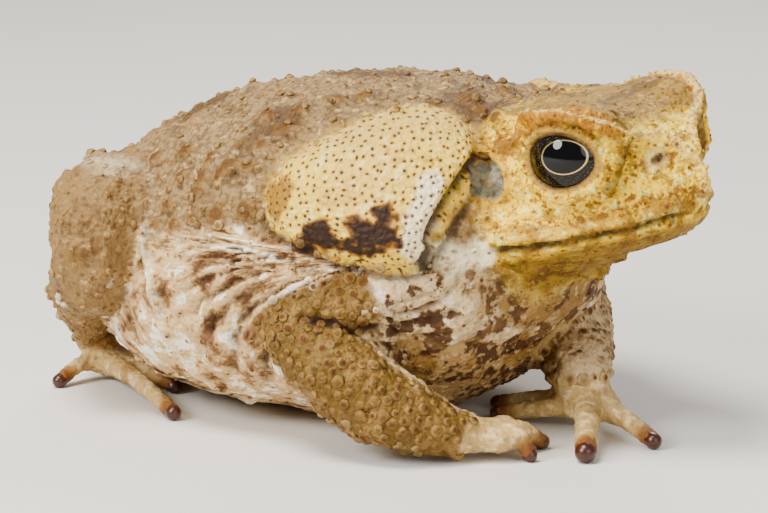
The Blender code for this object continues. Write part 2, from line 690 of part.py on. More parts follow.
def take_small_parts(body, head):
    """Ear drums, glands and eyeballs, each with its own bed in the body."""
    made = []
    for name, side in SIDES:
        made.append(carve(body, f"tympanum_{name}", partial(add_drum, head, side)))
        made.append(carve(body, f"parotoid_{name}", partial(add_gland, side)))
        cut(body, lambda bm, side=side: add_ball(bm, EYE, (EYE_RADIUS + GAP,) * 3, side, head))
        bm = bmesh.new()
        add_ball(bm, EYE, (EYE_RADIUS,) * 3, side, head)
        made.append(as_object(bm, f"eye_{name}"))
    return made


def material(name, colour, roughness):
    """A plain surface with a colour given as 0 to 255 sRGB."""
    made = bpy.data.materials.new(name)
    made.use_nodes = True
    shader = made.node_tree.nodes["Principled BSDF"]
    linear = [((value / 255.0 + 0.055) / 1.055) ** 2.4 for value in colour]
    shader.inputs["Base Color"].default_value = (*linear, 1.0)
    shader.inputs["Roughness"].default_value = roughness
    shader.inputs["Metallic"].default_value = 0.0
    return made


def finish(pieces):
    """Scale to metres, centre the footprint on the origin and give each piece its surface."""
    corners = np.array([vert.co for piece in pieces for vert in piece.data.vertices])
    middle = (corners.min(axis=0) + corners.max(axis=0)) / 2.0
    place = Matrix.Scale(MM, 4) @ Matrix.Translation((-middle[0], -middle[1], 0.0))
    for piece in pieces:
        piece.data.transform(place)
        piece.data.shade_smooth()
        kind = piece.name.removesuffix("_left").removesuffix("_right")
        piece.data.materials.clear()
        piece.data.materials.append(material(piece.name, *SURFACES[kind]))


def clear_scene():
    """Start from an empty scene."""
    for obj in list(bpy.data.objects):
        bpy.data.objects.remove(obj)


def main():
    clear_scene()
    head = head_frame()
    toad = as_object(whole_toad(), "toad")
    slim = toad.modifiers.new("Decimate", "DECIMATE")
    slim.ratio = TRIANGLES / (2.0 * len(toad.data.polygons))
    settle(toad)
    rest_on_floor(toad)
    add_warts(toad)
    pieces = take_small_parts(toad, head) + part_toad(toad, head)
    finish(pieces)


if __name__ == "__main__":
    main()
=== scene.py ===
"""Cane toad (Rhinella marina) sitting on a floor, dressed with its skin, warts, eyes and finger tips.

Forms are worked out in millimetres in the toad's own frame (X forward, Y to its left, Z up, floor at
Z = 0) and put into the row's frame, in metres, when a mesh is made.
"""
import math

import bpy
import numpy as np
from bpy.props import FloatProperty, FloatVectorProperty, IntProperty, PointerProperty
from mathutils import Matrix, Vector


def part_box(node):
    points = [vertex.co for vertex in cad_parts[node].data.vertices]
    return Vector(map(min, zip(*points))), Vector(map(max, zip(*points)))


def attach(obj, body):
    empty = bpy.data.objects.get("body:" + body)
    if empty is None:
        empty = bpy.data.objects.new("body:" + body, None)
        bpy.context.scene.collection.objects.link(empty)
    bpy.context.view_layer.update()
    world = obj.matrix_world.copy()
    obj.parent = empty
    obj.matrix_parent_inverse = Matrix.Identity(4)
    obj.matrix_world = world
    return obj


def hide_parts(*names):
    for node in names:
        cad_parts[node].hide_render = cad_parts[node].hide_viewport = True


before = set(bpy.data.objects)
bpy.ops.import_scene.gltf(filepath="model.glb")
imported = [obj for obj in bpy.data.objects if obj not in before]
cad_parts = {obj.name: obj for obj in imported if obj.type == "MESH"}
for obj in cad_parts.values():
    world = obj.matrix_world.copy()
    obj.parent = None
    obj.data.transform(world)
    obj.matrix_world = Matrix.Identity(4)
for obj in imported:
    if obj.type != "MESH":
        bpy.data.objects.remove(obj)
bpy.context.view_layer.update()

bl_info = {
    "name": "Cane toad skin",
    "version": (1, 0, 0),
    "blender": (4, 5, 0),
    "location": "3D View > Sidebar > Toad",
    "description": "Skin, warts, eyes and finger tips of a sitting cane toad, with a studio stage",
    "category": "Object",
}

MM = 0.001
SEED = 11
SIDES = (1.0, -1.0)
FLESH = [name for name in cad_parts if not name.startswith("eye")]

# Head frame and what sits in it, listed for the left side
HEAD_CENTRE = (43.0, 0.3, 48.7)
HEAD_YAW, HEAD_PITCH, HEAD_ROLL = -5.9, 3.8, 5.4
EYE = (0.6, 13.7, 0.2)
EYE_OUTWARD = (0.22, 1.0, 0.05)
EYEBALL_RADIUS, EYEBALL_SLACK = 7.0, 0.997
EYEBALL_SINK, EYE_FORWARD = 2.5, (0.4, 0.0, 0.3)
TYMPANUM = (-10.6, 18.0, -2.8)
TYMPANUM_RADII = (2.6, 3.1)
TYMPANUM_OUTWARD = (-0.1, 1.0, 0.1)
NOSTRIL = (11.2, 4.4, -0.8)
NOSTRIL_RIM = (1.7, 1.6, 1.5)
NOSTRIL_SLOT = ((11.9, 5.9, -1.0), (12.3, 5.7, -0.7), (12.6, 5.3, -0.4))
NOSTRIL_RADIUS = 0.6

# Head sections: (forward, lip half width, lip height, ridge half width, ridge height, top, chin)
HEAD_SECTIONS = (
    (-22.0, 20.0, -14.0, 12.0, 5.0, 5.6, -30.0), (-15.0, 21.6, -14.0, 12.0, 6.2, 6.4, -27.0),
    (-9.2, 20.8, -13.5, 11.0, 7.0, 6.8, -22.5), (-3.0, 19.4, -12.9, 10.0, 7.4, 7.2, -19.4),
    (3.0, 16.2, -12.1, 9.0, 6.8, 6.6, -16.9), (7.4, 12.9, -11.3, 7.2, 4.9, 4.9, -15.6),
    (10.6, 9.6, -10.7, 4.8, 3.4, 3.4, -14.6), (13.4, 5.8, -10.0, 2.4, 1.2, 1.4, -12.8),
    (15.2, 2.9, -9.4, 1.4, -1.2, -1.0, -11.0), (16.6, 1.3, -8.4, 0.8, -4.6, -4.4, -9.4),
)
MOUTH_LINE = ((-9.2, 21.0, -13.4), (-1.4, 18.4, -12.6), (6.2, 13.4, -11.3), (10.2, 9.2, -10.6),
              (13.3, 4.9, -9.9), (15.0, 0.0, -9.3))
MOUTH_LEVEL = ((-9.2, 15.0), (-13.4, -9.3))
UPPER_LIP_SET, LOWER_LIP_SET, LIP_RADIUS = (-0.1, -0.5, 1.3), (-1.9, -1.3, -1.6), 1.3
LID_EDGE = ((-7.2, 13.6, 6.2), (-3.0, 15.6, 7.2), (2.6, 16.2, 7.3), (7.2, 13.2, 5.4), (9.2, 9.6, 2.9))
LID_EDGE_RADIUS = 1.15
LID_DOME = ((0.5, 10.6, 3.4), (8.4, 5.8, 5.2))
LID_RING, LID_RING_RADIUS = (5.7, 4.5), 0.6
LID_PAD, LID_PAD_LIFT, LID_PAD_RADIUS, LID_FOLD = 1.22, 0.4, 1.3, 1.3
CANTHUS = ((9.2, 9.0, 3.0), (10.4, 7.0, 3.6), (12.0, 4.0, 2.6), (13.4, 2.2, 1.2), (15.0, 0.8, -0.6))
SNOUT_RIDGE = ((14.6, 0.0, 0.0), (15.8, 0.0, -1.6), (17.0, 0.0, -5.0), (17.3, 0.0, -7.0))
EAR_RIDGE = ((-6.8, 14.6, 3.0), (-9.6, 16.8, 2.0), (-13.5, 18.6, 1.0))
EYE_FRONT_RIDGE = ((9.2, 9.6, 2.4), (8.5, 11.0, -1.2), (7.2, 12.2, -4.2))
EYE_REAR_RIDGE = ((-7.0, 13.8, 6.0), (-7.4, 14.2, 2.8), (-6.8, 15.0, -1.5))
RIDGES = ((CANTHUS, 0.9), (EAR_RIDGE, 1.1), (EYE_FRONT_RIDGE, 0.95), (EYE_REAR_RIDGE, 1.2))
EYE_OPENING_SHIFT, EYE_OPENING = 4.6, (6.0, 5.6, 4.9)
TEMPLE = ((-9.8, 14.2, -3.2), (6.4, 4.6, 6.4))
TEAR_SPOT = (7.6, 12.6, -3.4)

# Trunk sections: (forward, half width, height of the widest level, top, bottom)
BODY_SECTIONS = (
    (-54.0, 7.0, 24.0, 31.0, 17.0), (-50.5, 16.0, 23.0, 37.5, 11.0), (-44.0, 25.0, 22.5, 43.5, 6.5),
    (-34.0, 32.5, 22.5, 48.5, 2.6), (-22.0, 37.5, 23.0, 52.5, 1.0), (-8.0, 39.0, 24.5, 55.3, 0.7),
    (5.0, 36.5, 26.0, 56.0, 1.4), (16.0, 31.5, 28.0, 55.5, 3.2), (25.0, 25.4, 29.0, 54.0, 9.0),
    (31.0, 18.2, 30.0, 50.0, 16.4), (35.5, 10.0, 31.0, 44.0, 21.0),
)
BODY_TOP_SQUARENESS, BODY_BELLY_SQUARENESS = 2.1, 2.5

# Gland behind the eye: front, rear, top and bottom of its outline, then its half thickness
PAROTOID = ((27.6, 19.0, 45.0), (-2.0, 33.0, 38.5), (16.5, 19.5, 53.0), (17.0, 33.0, 31.0))
PAROTOID_HALF_THICKNESS = 5.2
GLAND_MIDDLE = (0.0, -1.0)
GLAND_EDGE = ((17.6, 3.4), (15.2, 9.0), (8.0, 12.6), (-2.3, 11.0), (-10.8, 7.4), (-15.6, 3.2), (-17.0, -0.9),
              (-15.9, -4.6), (-11.7, -8.2), (-4.4, -12.0), (2.6, -13.8), (6.8, -12.6), (10.0, -8.8),
              (13.2, -4.6), (16.2, -0.6))
GLAND_STRIP = ((10.2, -2.5, 0.0), (6.5, -12.0, 0.0))
GLAND_STAIN = ((-9.0, -8.2, 4.4, 2.0), (-0.5, -9.4, 5.2, 3.0), (2.0, -7.0, 2.0, 2.2))

# Limbs on the left side as (centre, radius), for the side that each key names
UPPER_ARM = {
    -1.0: (((20.5, 21.5, 25.5), 6.5), ((13.5, 29.5, 23.6), 5.4), ((7.0, 33.6, 18.8), 6.2)),
    1.0: (((22.0, 20.5, 26.0), 6.5), ((18.5, 26.0, 24.6), 5.8), ((14.5, 30.0, 20.3), 6.6)),
}
FOREARM = {
    -1.0: (((7.0, 33.6, 18.8), 6.2), ((14.0, 33.4, 13.8), 6.7), ((22.0, 31.0, 8.2), 6.3),
           ((29.0, 26.0, 5.1), 4.3), ((33.2, 22.0, 4.1), 2.8)),
    1.0: (((14.5, 30.0, 20.3), 6.6), ((20.5, 22.7, 16.5), 6.9), ((28.4, 13.1, 11.7), 6.3),
          ((32.8, 7.8, 9.4), 5.4), ((34.4, 5.8, 8.4), 4.8)),
}
THIGH = (((-40.0, 11.0, 27.0), 12.0), ((-39.0, 22.0, 30.5), 10.6), ((-35.5, 32.0, 32.5), 9.0),
         ((-32.0, 38.0, 30.5), 7.6))
SHANK = (((-32.0, 38.0, 29.5), 7.4), ((-33.0, 37.0, 24.2), 6.8), ((-39.0, 32.0, 20.8), 6.2),
         ((-46.0, 24.5, 15.6), 5.0))
TARSUS = (((-46.5, 23.5, 14.0), 4.6), ((-49.5, 19.0, 8.0), 3.3), ((-48.5, 16.0, 4.0), 3.0))

# Pads of hand and foot as (centre, radii), and fingers and toes as (root, knuckle, tip, radius)
PALM = {-1.0: ((34.6, 19.8, 3.5), (4.4, 4.0, 2.5)), 1.0: ((36.8, 5.3, 4.3), (5.2, 5.2, 2.9))}
FOOT_PAD = ((-46.5, 17.0, 3.0), (5.0, 4.2, 2.4))
FINGERS = {
    -1.0: (((32.4, 18.8, 3.8), (29.8, 15.6, 3.8), (27.0, 12.2, 1.3), 1.4),
           ((33.2, 17.8, 4.0), (32.6, 13.4, 4.0), (31.2, 8.8, 1.3), 1.5),
           ((34.0, 18.8, 4.0), (36.2, 14.8, 4.0), (37.2, 10.2, 1.3), 1.5),
           ((34.6, 20.4, 4.2), (38.6, 18.8, 4.3), (40.0, 17.9, 1.2), 1.4)),
    1.0: (((34.5, 6.2, 4.2), (26.5, 6.8, 3.4), (18.0, 6.6, 1.4), 1.5),
          ((35.5, 4.6, 4.0), (28.8, 2.6, 2.8), (21.8, 0.8, 1.3), 1.5),
          ((38.0, 2.5, 4.6), (42.5, -5.0, 3.4), (47.0, -12.6, 1.7), 2.0),
          ((39.5, 5.0, 4.2), (45.2, 3.8, 2.9), (51.0, 1.2, 1.4), 1.6)),
}
TOES = (((-48.0, 18.0, 3.2), (-49.0, 22.5, 3.0), (-49.0, 27.5, 1.2), 1.4),
        ((-44.5, 19.0, 3.2), (-32.5, 26.5, 3.4), (-19.8, 32.8, 1.3), 1.5),
        ((-43.5, 17.5, 3.2), (-37.0, 18.5, 3.3), (-31.5, 18.5, 1.3), 1.5),
        ((-43.5, 15.5, 3.2), (-39.0, 14.0, 3.2), (-34.5, 12.0, 1.2), 1.4),
        ((-45.0, 13.5, 3.0), (-42.5, 11.0, 2.8), (-39.5, 8.0, 1.2), 1.3))
# A digit's root is this much thicker, in mm, and its tip has this share of the radius
ROOT_SWELL, TIP_SHARE = 0.5, 0.9
# Distance to a pad: mm for each of its radii that a point lies from its centre, and mm taken off
PAD_SCALE, PAD_REACH = 3.0, 3.6

# Lines and places on the left side that folds, creases, warts and colours follow, in the toad's frame
NECK_GROOVE = ((29.1, 16.8, 48.1), (29.3, 20.4, 45.1), (28.9, 24.6, 41.2), (27.5, 26.7, 36.6), (24.7, 25.5, 30.6))
ARM_CREASE = ((9.9, 38.0, 22.2), (14.2, 35.9, 21.8), (17.4, 32.4, 20.4), (18.7, 30.2, 20.5))
CHEST_FOLD = ((20.8, 26.4, 17.4), (25.3, 21.8, 17.3), (28.5, 15.3, 16.6), (29.7, 5.5, 15.0))
FLANK_RIM = ((-23.3, 35.6, 32.9), (-21.0, 37.3, 27.2), (-18.8, 37.9, 21.1), (-16.1, 36.8, 14.7),
             (-13.8, 33.3, 9.4), (-10.1, 24.8, 4.2))
FOLD_APEX, FOLD_STEP = (22.0, 30.0), 0.27
CHEST_TILT = ((0.8, 0.0, 0.5), (0.0, 0.8, 0.0), (-0.5, 0.0, 0.8))
PALE_LEVEL = ((-50.0, -40.0, -24.0, -12.0, -2.5, 10.0, 20.0, 30.0, 40.0),
              (31.0, 32.0, 32.0, 33.5, 35.5, 32.5, 31.0, 29.5, 28.0))
JAW_PATCH = ((26.3, 23.8, 32.9), (28.0, 22.1, 31.0), (30.7, 19.2, 32.0))
# Middle of a painted highlight on the knee's top
KNEE_HIGHLIGHT = (-34.8, 31.4, 40.8)
BACK_PATCHES = ((20.0, -8.5, 54.0, 6.5), (28.0, -11.0, 52.0, 4.0), (0.2, -2.7, 55.7, 5.5), (-9.3, 0.5, 55.0, 4.5),
                (-5.0, -24.0, 50.0, 5.0), (14.0, 9.0, 54.5, 6.0), (-20.0, 14.0, 50.0, 7.0), (-33.0, -10.0, 47.0, 6.0))
INWARD = {-1.0: (0.2, -0.97, -0.1), 1.0: (0.75, -0.66, 0.0)}
IRIS_MIDDLE, IRIS_RING, IRIS_RING_EDGES = (0.17, 0.1), (0.5, 0.37), (0.975, 1.012)

# Wavelength in mm and seed of the noises that roughen edges: soft, fine and grain
SURFACE_NOISES = ((9.0, 3), (3.4, 4), (1.6, 9))
# How far a noise's waves spread about its wavelength, and the peak that counts as 1
NOISE_SPREAD, NOISE_PEAK = (0.7, 1.35), 1.4
# Shares and distances before they are measured, beyond all that a mask asks for
FAR_SHARE, FAR = 9.0, 99.0

# A small wart's rings, as shares of its radius and height, how many sides each has, and how high its tip is
WART_PROFILE, WART_SIDES, WART_TOP = ((1.0, -0.4), (0.76, 0.35), (0.36, 0.85)), 6, 1.04
# Small warts: (where, least distance, radii, heights, darkness of the tip, paleness of the dome); None is the
# distance that the settings give
WART_KINDS = (
    ("arm", None, (0.75, 1.3), (0.35, 0.6), 1.0, 0.2), ("leg", 2.4, (0.5, 0.95), (0.2, 0.45), 0.35, 0.2),
    ("flank", 2.7, (0.4, 0.8), (0.25, 0.45), 1.0, 0.1), ("back", 2.3, (0.5, 1.0), (0.3, 0.6), 0.8, 0.3),
    ("cheek", 3.4, (0.25, 0.45), (0.15, 0.3), 0.9, 0.0), ("ridge", 1.1, (0.3, 0.5), (0.25, 0.5), 0.0, 0.8),
)
# Big warts rise by these shares of their radius: those drawn at random, and the listed ones
PLAIN_SWELL, KNOWN_SWELL, KNOWN_SPREAD = 0.4, 0.62, 1.3
# A horny tip's cap: its places along the digit and its widths, in radii
TIP_CAP = ((-0.3, 0.9), (0.15, 0.95))
# Directions that no limb and hardly a wart points in, from which the way across is worked out
LIMB_ASKEW, WART_ASKEW = (0.31, 0.22, 0.93), (0.3, 0.9, 0.32)
# More cells than the toad takes in any direction, to number them by, and rounds of choosing seats in them
SEAT_CELLS, SEAT_ROUNDS = 4096, 10
# The bake map: margin as a share of a cell, and the part of the sheet that a box face takes each way
BAKE_MARGIN, BAKE_PART = 0.02, (0.32, 0.47)

# Warts that stand out singly, as (place, radius): the row above the flank, then those of the back
WART_ROW = (((-2.5, 35.5, 37.2), 2.0), ((-7.8, 36.4, 35.9), 1.9), ((-12.0, 36.8, 34.5), 1.5),
            ((-16.2, 36.6, 33.5), 1.4), ((-20.5, 36.0, 32.7), 1.2), ((-23.3, 35.6, 32.9), 1.2))
BACK_WARTS = (((24.2, 9.8, 52.8), 1.3), ((27.9, 11.0, 52.1), 1.4), ((21.1, 9.2, 53.6), 1.2), ((22.7, 1.0, 54.4), 1.5),
              ((25.8, -3.1, 54.0), 1.3), ((30.3, -2.0, 54.5), 1.3), ((-3.7, 25.1, 48.8), 1.7),
              ((-8.7, 22.5, 49.9), 1.6), ((-5.3, 28.4, 46.3), 1.5), ((-8.8, 31.7, 42.9), 1.9),
              ((-9.8, 32.9, 41.3), 1.5), ((-13.4, 32.7, 40.9), 1.7), ((-20.5, 27.9, 43.8), 1.8),
              ((-13.8, 30.3, 43.5), 1.5), ((-5.3, 31.5, 43.3), 1.6), ((-3.2, 20.7, 51.3), 1.5),
              ((1.5, 16.9, 52.9), 1.4), ((4.8, 14.7, 53.7), 1.5), ((-18.1, 32.1, 40.3), 1.6),
              ((-19.0, 34.7, 36.1), 1.4), ((-13.0, 34.6, 38.5), 1.6), ((-27.4, 27.1, 41.6), 1.8))

# Grain of each fusing stage in mm, and rounds of easing after it
CORE_GRAIN, CORE_EASE = 1.1, 12
LIMB_GRAIN, LIMB_EASE = 0.7, 4
FACE_GRAIN, SKIN_GRAIN, SKIN_EASE = 0.5, 0.44, 2
SKIN_TRIANGLES = 192000

# Camera, from the photograph's perspective, about a point above the floor
VIEW_TURN, VIEW_RISE, VIEW_ROLL = 35.3, 11.0, 1.0
VIEW_DISTANCE, VIEW_TARGET = 520.0, (0.0, 0.0, 27.0)
FRAME_PIXELS, FOCAL_PIXELS, MIDDLE_PIXEL = (768, 513), 3117.0, (390.6, 244.0)


def linear(code):
    """Linear red, green and blue of a colour written as an sRGB hex code."""
    parts = [int(code[k:k + 2], 16) / 255.0 for k in (1, 3, 5)]
    return tuple(p / 12.92 if p <= 0.04045 else ((p + 0.055) / 1.055) ** 2.4 for p in parts)


def head_frame():
    """Matrix from the head frame to the toad's frame."""
    turn = Matrix.Rotation(math.radians(HEAD_YAW), 4, "Z")
    turn = turn @ Matrix.Rotation(math.radians(-HEAD_PITCH), 4, "Y")
    turn = turn @ Matrix.Rotation(math.radians(HEAD_ROLL), 4, "X")
    return Matrix.Translation(HEAD_CENTRE) @ turn


HEAD = np.array(head_frame())


def placed(points, matrix):
    """Points moved by a 4 by 4 matrix."""
    points = np.asarray(points, float)
    return points @ matrix[:3, :3].T + matrix[:3, 3]


def unplaced(points, matrix):
    """Points of the toad's frame as seen in the frame of a rigid matrix."""
    return (np.asarray(points, float) - matrix[:3, 3]) @ matrix[:3, :3]


def on_side(points, side):
    """Points listed for the left side, on the given side."""
    return np.asarray(points, float) * (1.0, side, 1.0)


def row_shift():
    """How far the row's frame lies from the toad's, in mm, read from the eyeballs' boxes."""
    shifts = []
    for name, side in (("eye_left", 1.0), ("eye_right", -1.0)):
        low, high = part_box(name)
        shifts.append((np.array(low) + np.array(high)) / (2.0 * MM) - placed(on_side(EYE, side), HEAD))
    shift = np.mean(shifts, axis=0)
    shift[2] = 0.0
    return shift


SHIFT = row_shift()


def smoothed(rows, steps):
    """Rows joined by Catmull-Rom curves: each span is a cubic that passes through both its ends."""
    table = np.asarray(rows, float)
    padded = np.vstack([2 * table[0] - table[1], table, 2 * table[-1] - table[-2]])
    t = (np.arange(steps) / steps)[None, :, None]
    before, start, end, after = (padded[k:k + len(table) - 1, None, :] for k in range(4))
    drawn = 0.5 * (2 * start + (end - before) * t + (2 * before - 5 * start + 4 * end - after) * t ** 2
                   + (3 * start - before - 3 * end + after) * t ** 3)
    return np.vstack([drawn.reshape(-1, table.shape[1]), table[-1]])


def skinned(rings):
    """A closed solid over equal rings: quads between neighbours and a fan to the middle of each end.

    A shape is (points, corners, sizes): the corners of every polygon in one row, and how many each has.
    """
    rings = np.asarray(rings, float)
    count, sides = rings.shape[:2]
    verts = np.vstack([rings.reshape(-1, 3), rings[0].mean(axis=0), rings[-1].mean(axis=0)])
    near = (np.arange(count - 1)[:, None] * sides + np.arange(sides)[None, :])
    after = (np.arange(count - 1)[:, None] * sides + (np.arange(sides)[None, :] + 1) % sides)
    quads = np.stack([near, after, after + sides, near + sides], axis=-1).reshape(-1, 4)
    side, turned = np.arange(sides), (np.arange(sides) + 1) % sides
    last = (count - 1) * sides
    first_fan = np.stack([turned, side, np.full(sides, count * sides)], axis=-1)
    last_fan = np.stack([side + last, turned + last, np.full(sides, count * sides + 1)], axis=-1)
    corners = np.concatenate([quads.ravel(), first_fan.ravel(), last_fan.ravel()])
    return verts, corners, np.repeat((4, 3), (len(quads), 2 * sides))


def tube(stations, side, matrix=None, steps=6, sides=20, caps=4):
    """A round limb: circles carried along a smooth path, drawn in to a half circle at both ends."""
    drawn = smoothed([(*centre, radius) for centre, radius in stations], steps)
    path, radii = on_side(drawn[:, :3], side), drawn[:, 3]
    along = np.gradient(path, axis=0)
    along /= np.linalg.norm(along, axis=1)[:, None]
    bend = np.radians(np.linspace(82.0, 0.0, caps, endpoint=False))
    head = path[0] - np.outer(radii[0] * np.sin(bend), along[0])
    tail = path[-1] + np.outer(radii[-1] * np.sin(bend[::-1]), along[-1])
    centres = np.vstack([head, path, tail])
    sizes = np.concatenate([radii[0] * np.cos(bend), radii, radii[-1] * np.cos(bend[::-1])])
    ahead = np.vstack([np.repeat(along[:1], caps, 0), along, np.repeat(along[-1:], caps, 0)])
    across = np.cross(ahead, LIMB_ASKEW)
    across /= np.linalg.norm(across, axis=1)[:, None]
    up = np.cross(ahead, across)
    turn = np.linspace(0.0, 2.0 * math.pi, sides, endpoint=False)
    rings = (centres[:, None] + sizes[:, None, None] * (np.cos(turn)[None, :, None] * across[:, None]
                                                        + np.sin(turn)[None, :, None] * up[:, None]))
    points, *polygons = skinned(rings)
    return (points if matrix is None else placed(points, matrix), *polygons)


def cord(path, radius, side, matrix=None, steps=5):
    """A tube of even thickness."""
    return tube([(point, radius) for point in path], side, matrix, steps, 14)


def ball(centre, radii, side, matrix=None, rows=22, sides=32):
    """An ellipsoid: circles of the sine of the height angle, stacked by its cosine."""
    rise = np.radians(np.linspace(3.0, 177.0, rows))
    turn = np.linspace(0.0, 2.0 * math.pi, sides, endpoint=False)
    rings = np.stack([np.outer(np.sin(rise), np.cos(turn)), np.outer(np.sin(rise), np.sin(turn)),
                      np.repeat(np.cos(rise)[:, None], sides, 1)], axis=-1)
    points, *polygons = skinned(rings)
    points = points * np.asarray(radii) + on_side(centre, side)
    return (points if matrix is None else placed(points, matrix), *polygons)


def trunk():
    """The trunk: superellipse rings, squarer under the belly than over the back."""
    rows = smoothed(BODY_SECTIONS, 4)
    turn = np.linspace(0.0, 2.0 * math.pi, 56, endpoint=False)
    wide, high = np.cos(turn), np.sin(turn)
    square = np.where(high > 0, BODY_TOP_SQUARENESS, BODY_BELLY_SQUARENESS)
    forward, half, level, top, bottom = (rows[:, k:k + 1] for k in range(5))
    y = half * np.sign(wide) * np.abs(wide) ** (2.0 / square)
    reach = np.where(high > 0, top - level, level - bottom)
    z = level + reach * np.sign(high) * np.abs(high) ** (2.0 / square)
    return skinned(np.stack([np.broadcast_to(forward, y.shape), y, z], axis=-1))


def skull():
    """The head without its ridges: rings through lips, bony edges and throat, eased by curves."""
    rings = []
    for forward, lip, lip_height, ridge, ridge_height, top, chin in smoothed(HEAD_SECTIONS, 4):
        half = [(0.0, top), (0.55 * ridge, 0.5 * (top + ridge_height)), (ridge, ridge_height),
                (0.5 * (ridge + lip) + 0.4, 0.5 * (ridge_height + lip_height)),
                (lip, lip_height + 2.0), (lip, lip_height - 1.0),
                (0.86 * lip, lip_height + 0.45 * (chin - lip_height)),
                (0.5 * lip, lip_height + 0.88 * (chin - lip_height)), (0.0, chin)]
        loop = half + [(-y, z) for y, z in half[-2:0:-1]]
        curve = smoothed(loop + loop[:1], 3)[:-1]
        rings.append(np.column_stack([np.full(len(curve), forward), curve]))
    points, *polygons = skinned(rings)
    return (placed(points, HEAD), *polygons)


def gland_matrix(side):
    """Frame of the gland (along, up, outward) in the toad's frame."""
    front, rear, top, bottom = on_side(PAROTOID, side)
    along, up = front - rear, top - bottom
    along = along / np.linalg.norm(along)
    up = up - along * (up @ along)
    up = up / np.linalg.norm(up)
    matrix = np.eye(4)
    matrix[:3, :3] = np.stack([along, up, np.cross(along, up)], axis=1)
    matrix[:3, 3] = (front + rear + top + bottom) / 4.0
    return matrix


def gland(side):
    """The gland as a pillow: its outline drawn in by |sin p|^0.8 at heights of |cos p|^0.9."""
    loop = smoothed(GLAND_EDGE + GLAND_EDGE[:1], 4)[:-1] - GLAND_MIDDLE
    rise = np.radians(np.linspace(3.0, 177.0, 22))[:, None]
    flat = (np.abs(np.sin(rise)) ** 0.8)[:, :, None] * loop[None] + GLAND_MIDDLE
    high = np.sign(np.cos(rise)) * np.abs(np.cos(rise)) ** 0.9 * PAROTOID_HALF_THICKNESS
    rings = np.concatenate([flat, np.repeat(high, len(loop), 1)[:, :, None]], axis=-1)
    points, *polygons = skinned(rings)
    return (placed(points, gland_matrix(side)), *polygons)


def eye_axes():
    """Directions along the lids, up and outward at the left eye, in the head frame."""
    out = Vector(EYE_OUTWARD).normalized()
    along = (Vector((1.0, 0.0, 0.0)) - out * out.x).normalized()
    return np.array(along), np.array(along.cross(out)), np.array(out)


EYE_SEAT = np.array(EYE) + EYE_FORWARD - np.array(Vector(EYE_OUTWARD).normalized()) * EYEBALL_SINK


def lid_ring(share=1.0, lift=0.0):
    """The rim of the lids: an ellipse seen from outside, laid on the eyeball's sphere or just over it."""
    along, up, out = eye_axes()
    turn = np.radians(np.arange(0, 361, 12))[:, None]
    wide, high = share * LID_RING[0] * np.cos(turn), share * LID_RING[1] * np.sin(turn)
    deep = np.sqrt((EYEBALL_RADIUS + lift) ** 2 - wide ** 2 - high ** 2)
    return EYE_SEAT + along * wide + up * high + out * deep


def shifted(path, step):
    """The path moved by a step, but still ending on the middle line."""
    moved = np.asarray(path) + step
    moved[-1, 1] = 0.0
    return moved


def new_object(name, points, corners, sizes):
    """An object at the origin, of points and of polygons given by their corners and sizes."""
    mesh = bpy.data.meshes.new(name)
    mesh.vertices.add(len(points))
    mesh.vertices.foreach_set("co", points.ravel())
    mesh.loops.add(len(corners))
    mesh.loops.foreach_set("vertex_index", corners)
    mesh.polygons.add(len(sizes))
    mesh.polygons.foreach_set("loop_start", np.cumsum(sizes) - sizes)
    mesh.update(calc_edges=True)
    obj = bpy.data.objects.new(name, mesh)
    bpy.context.scene.collection.objects.link(obj)
    return obj


def joined(shapes):
    """Several shapes as one, each a loose shell."""
    starts = np.cumsum([0] + [len(shape[0]) for shape in shapes[:-1]])
    corners = np.concatenate([shape[1] + start for shape, start in zip(shapes, starts)])
    return np.vstack([shape[0] for shape in shapes]), corners, np.concatenate([shape[2] for shape in shapes])


def settled(obj):
    """The shape of an object with its modifiers; the object is used up."""
    graph = bpy.context.evaluated_depsgraph_get()
    mesh = bpy.data.meshes.new_from_object(obj.evaluated_get(graph))
    bpy.data.objects.remove(obj)
    points = np.empty(len(mesh.vertices) * 3)
    mesh.vertices.foreach_get("co", points)
    corners = np.empty(len(mesh.loops), np.int64)
    mesh.loops.foreach_get("vertex_index", corners)
    sizes = np.empty(len(mesh.polygons), np.int64)
    mesh.polygons.foreach_get("loop_total", sizes)
    bpy.data.meshes.remove(mesh)
    return points.reshape(-1, 3), corners, sizes


def fused(shapes, grain, ease):
    """One closed surface round every shape, on a grid of the given grain, then eased."""
    obj = new_object("fused", *joined(shapes))
    remesh = obj.modifiers.new("Remesh", "REMESH")
    remesh.mode = "VOXEL"
    remesh.voxel_size = grain
    smooth = obj.modifiers.new("Smooth", "SMOOTH")
    smooth.factor = 0.5
    smooth.iterations = ease
    return settled(obj)


def hollowed(shape, rooms):
    """A closed surface with rooms taken out of it."""
    obj = new_object("hollowed", *shape)
    tool = new_object("rooms", *joined(rooms))
    cut = obj.modifiers.new("Boolean", "BOOLEAN")
    cut.operation = "DIFFERENCE"
    cut.solver = "MANIFOLD"
    cut.object = tool
    left = settled(obj)
    bpy.data.objects.remove(tool)
    return left


def face_shapes():
    """Lids, bony ridges and lips of both sides."""
    shapes = [cord(SNOUT_RIDGE, 0.8, 1.0, HEAD)]
    for side in SIDES:
        shapes += [ball(*LID_DOME, side, HEAD), ball(*TEMPLE, side, HEAD)]
        shapes.append(cord(LID_EDGE, LID_EDGE_RADIUS, side, HEAD))
        shapes += [cord(ridge, radius, side, HEAD) for ridge, radius in RIDGES]
        shapes.append(cord(shifted(MOUTH_LINE, UPPER_LIP_SET), LIP_RADIUS, side, HEAD))
        shapes.append(cord(shifted(MOUTH_LINE, LOWER_LIP_SET), LIP_RADIUS, side, HEAD))
    return shapes


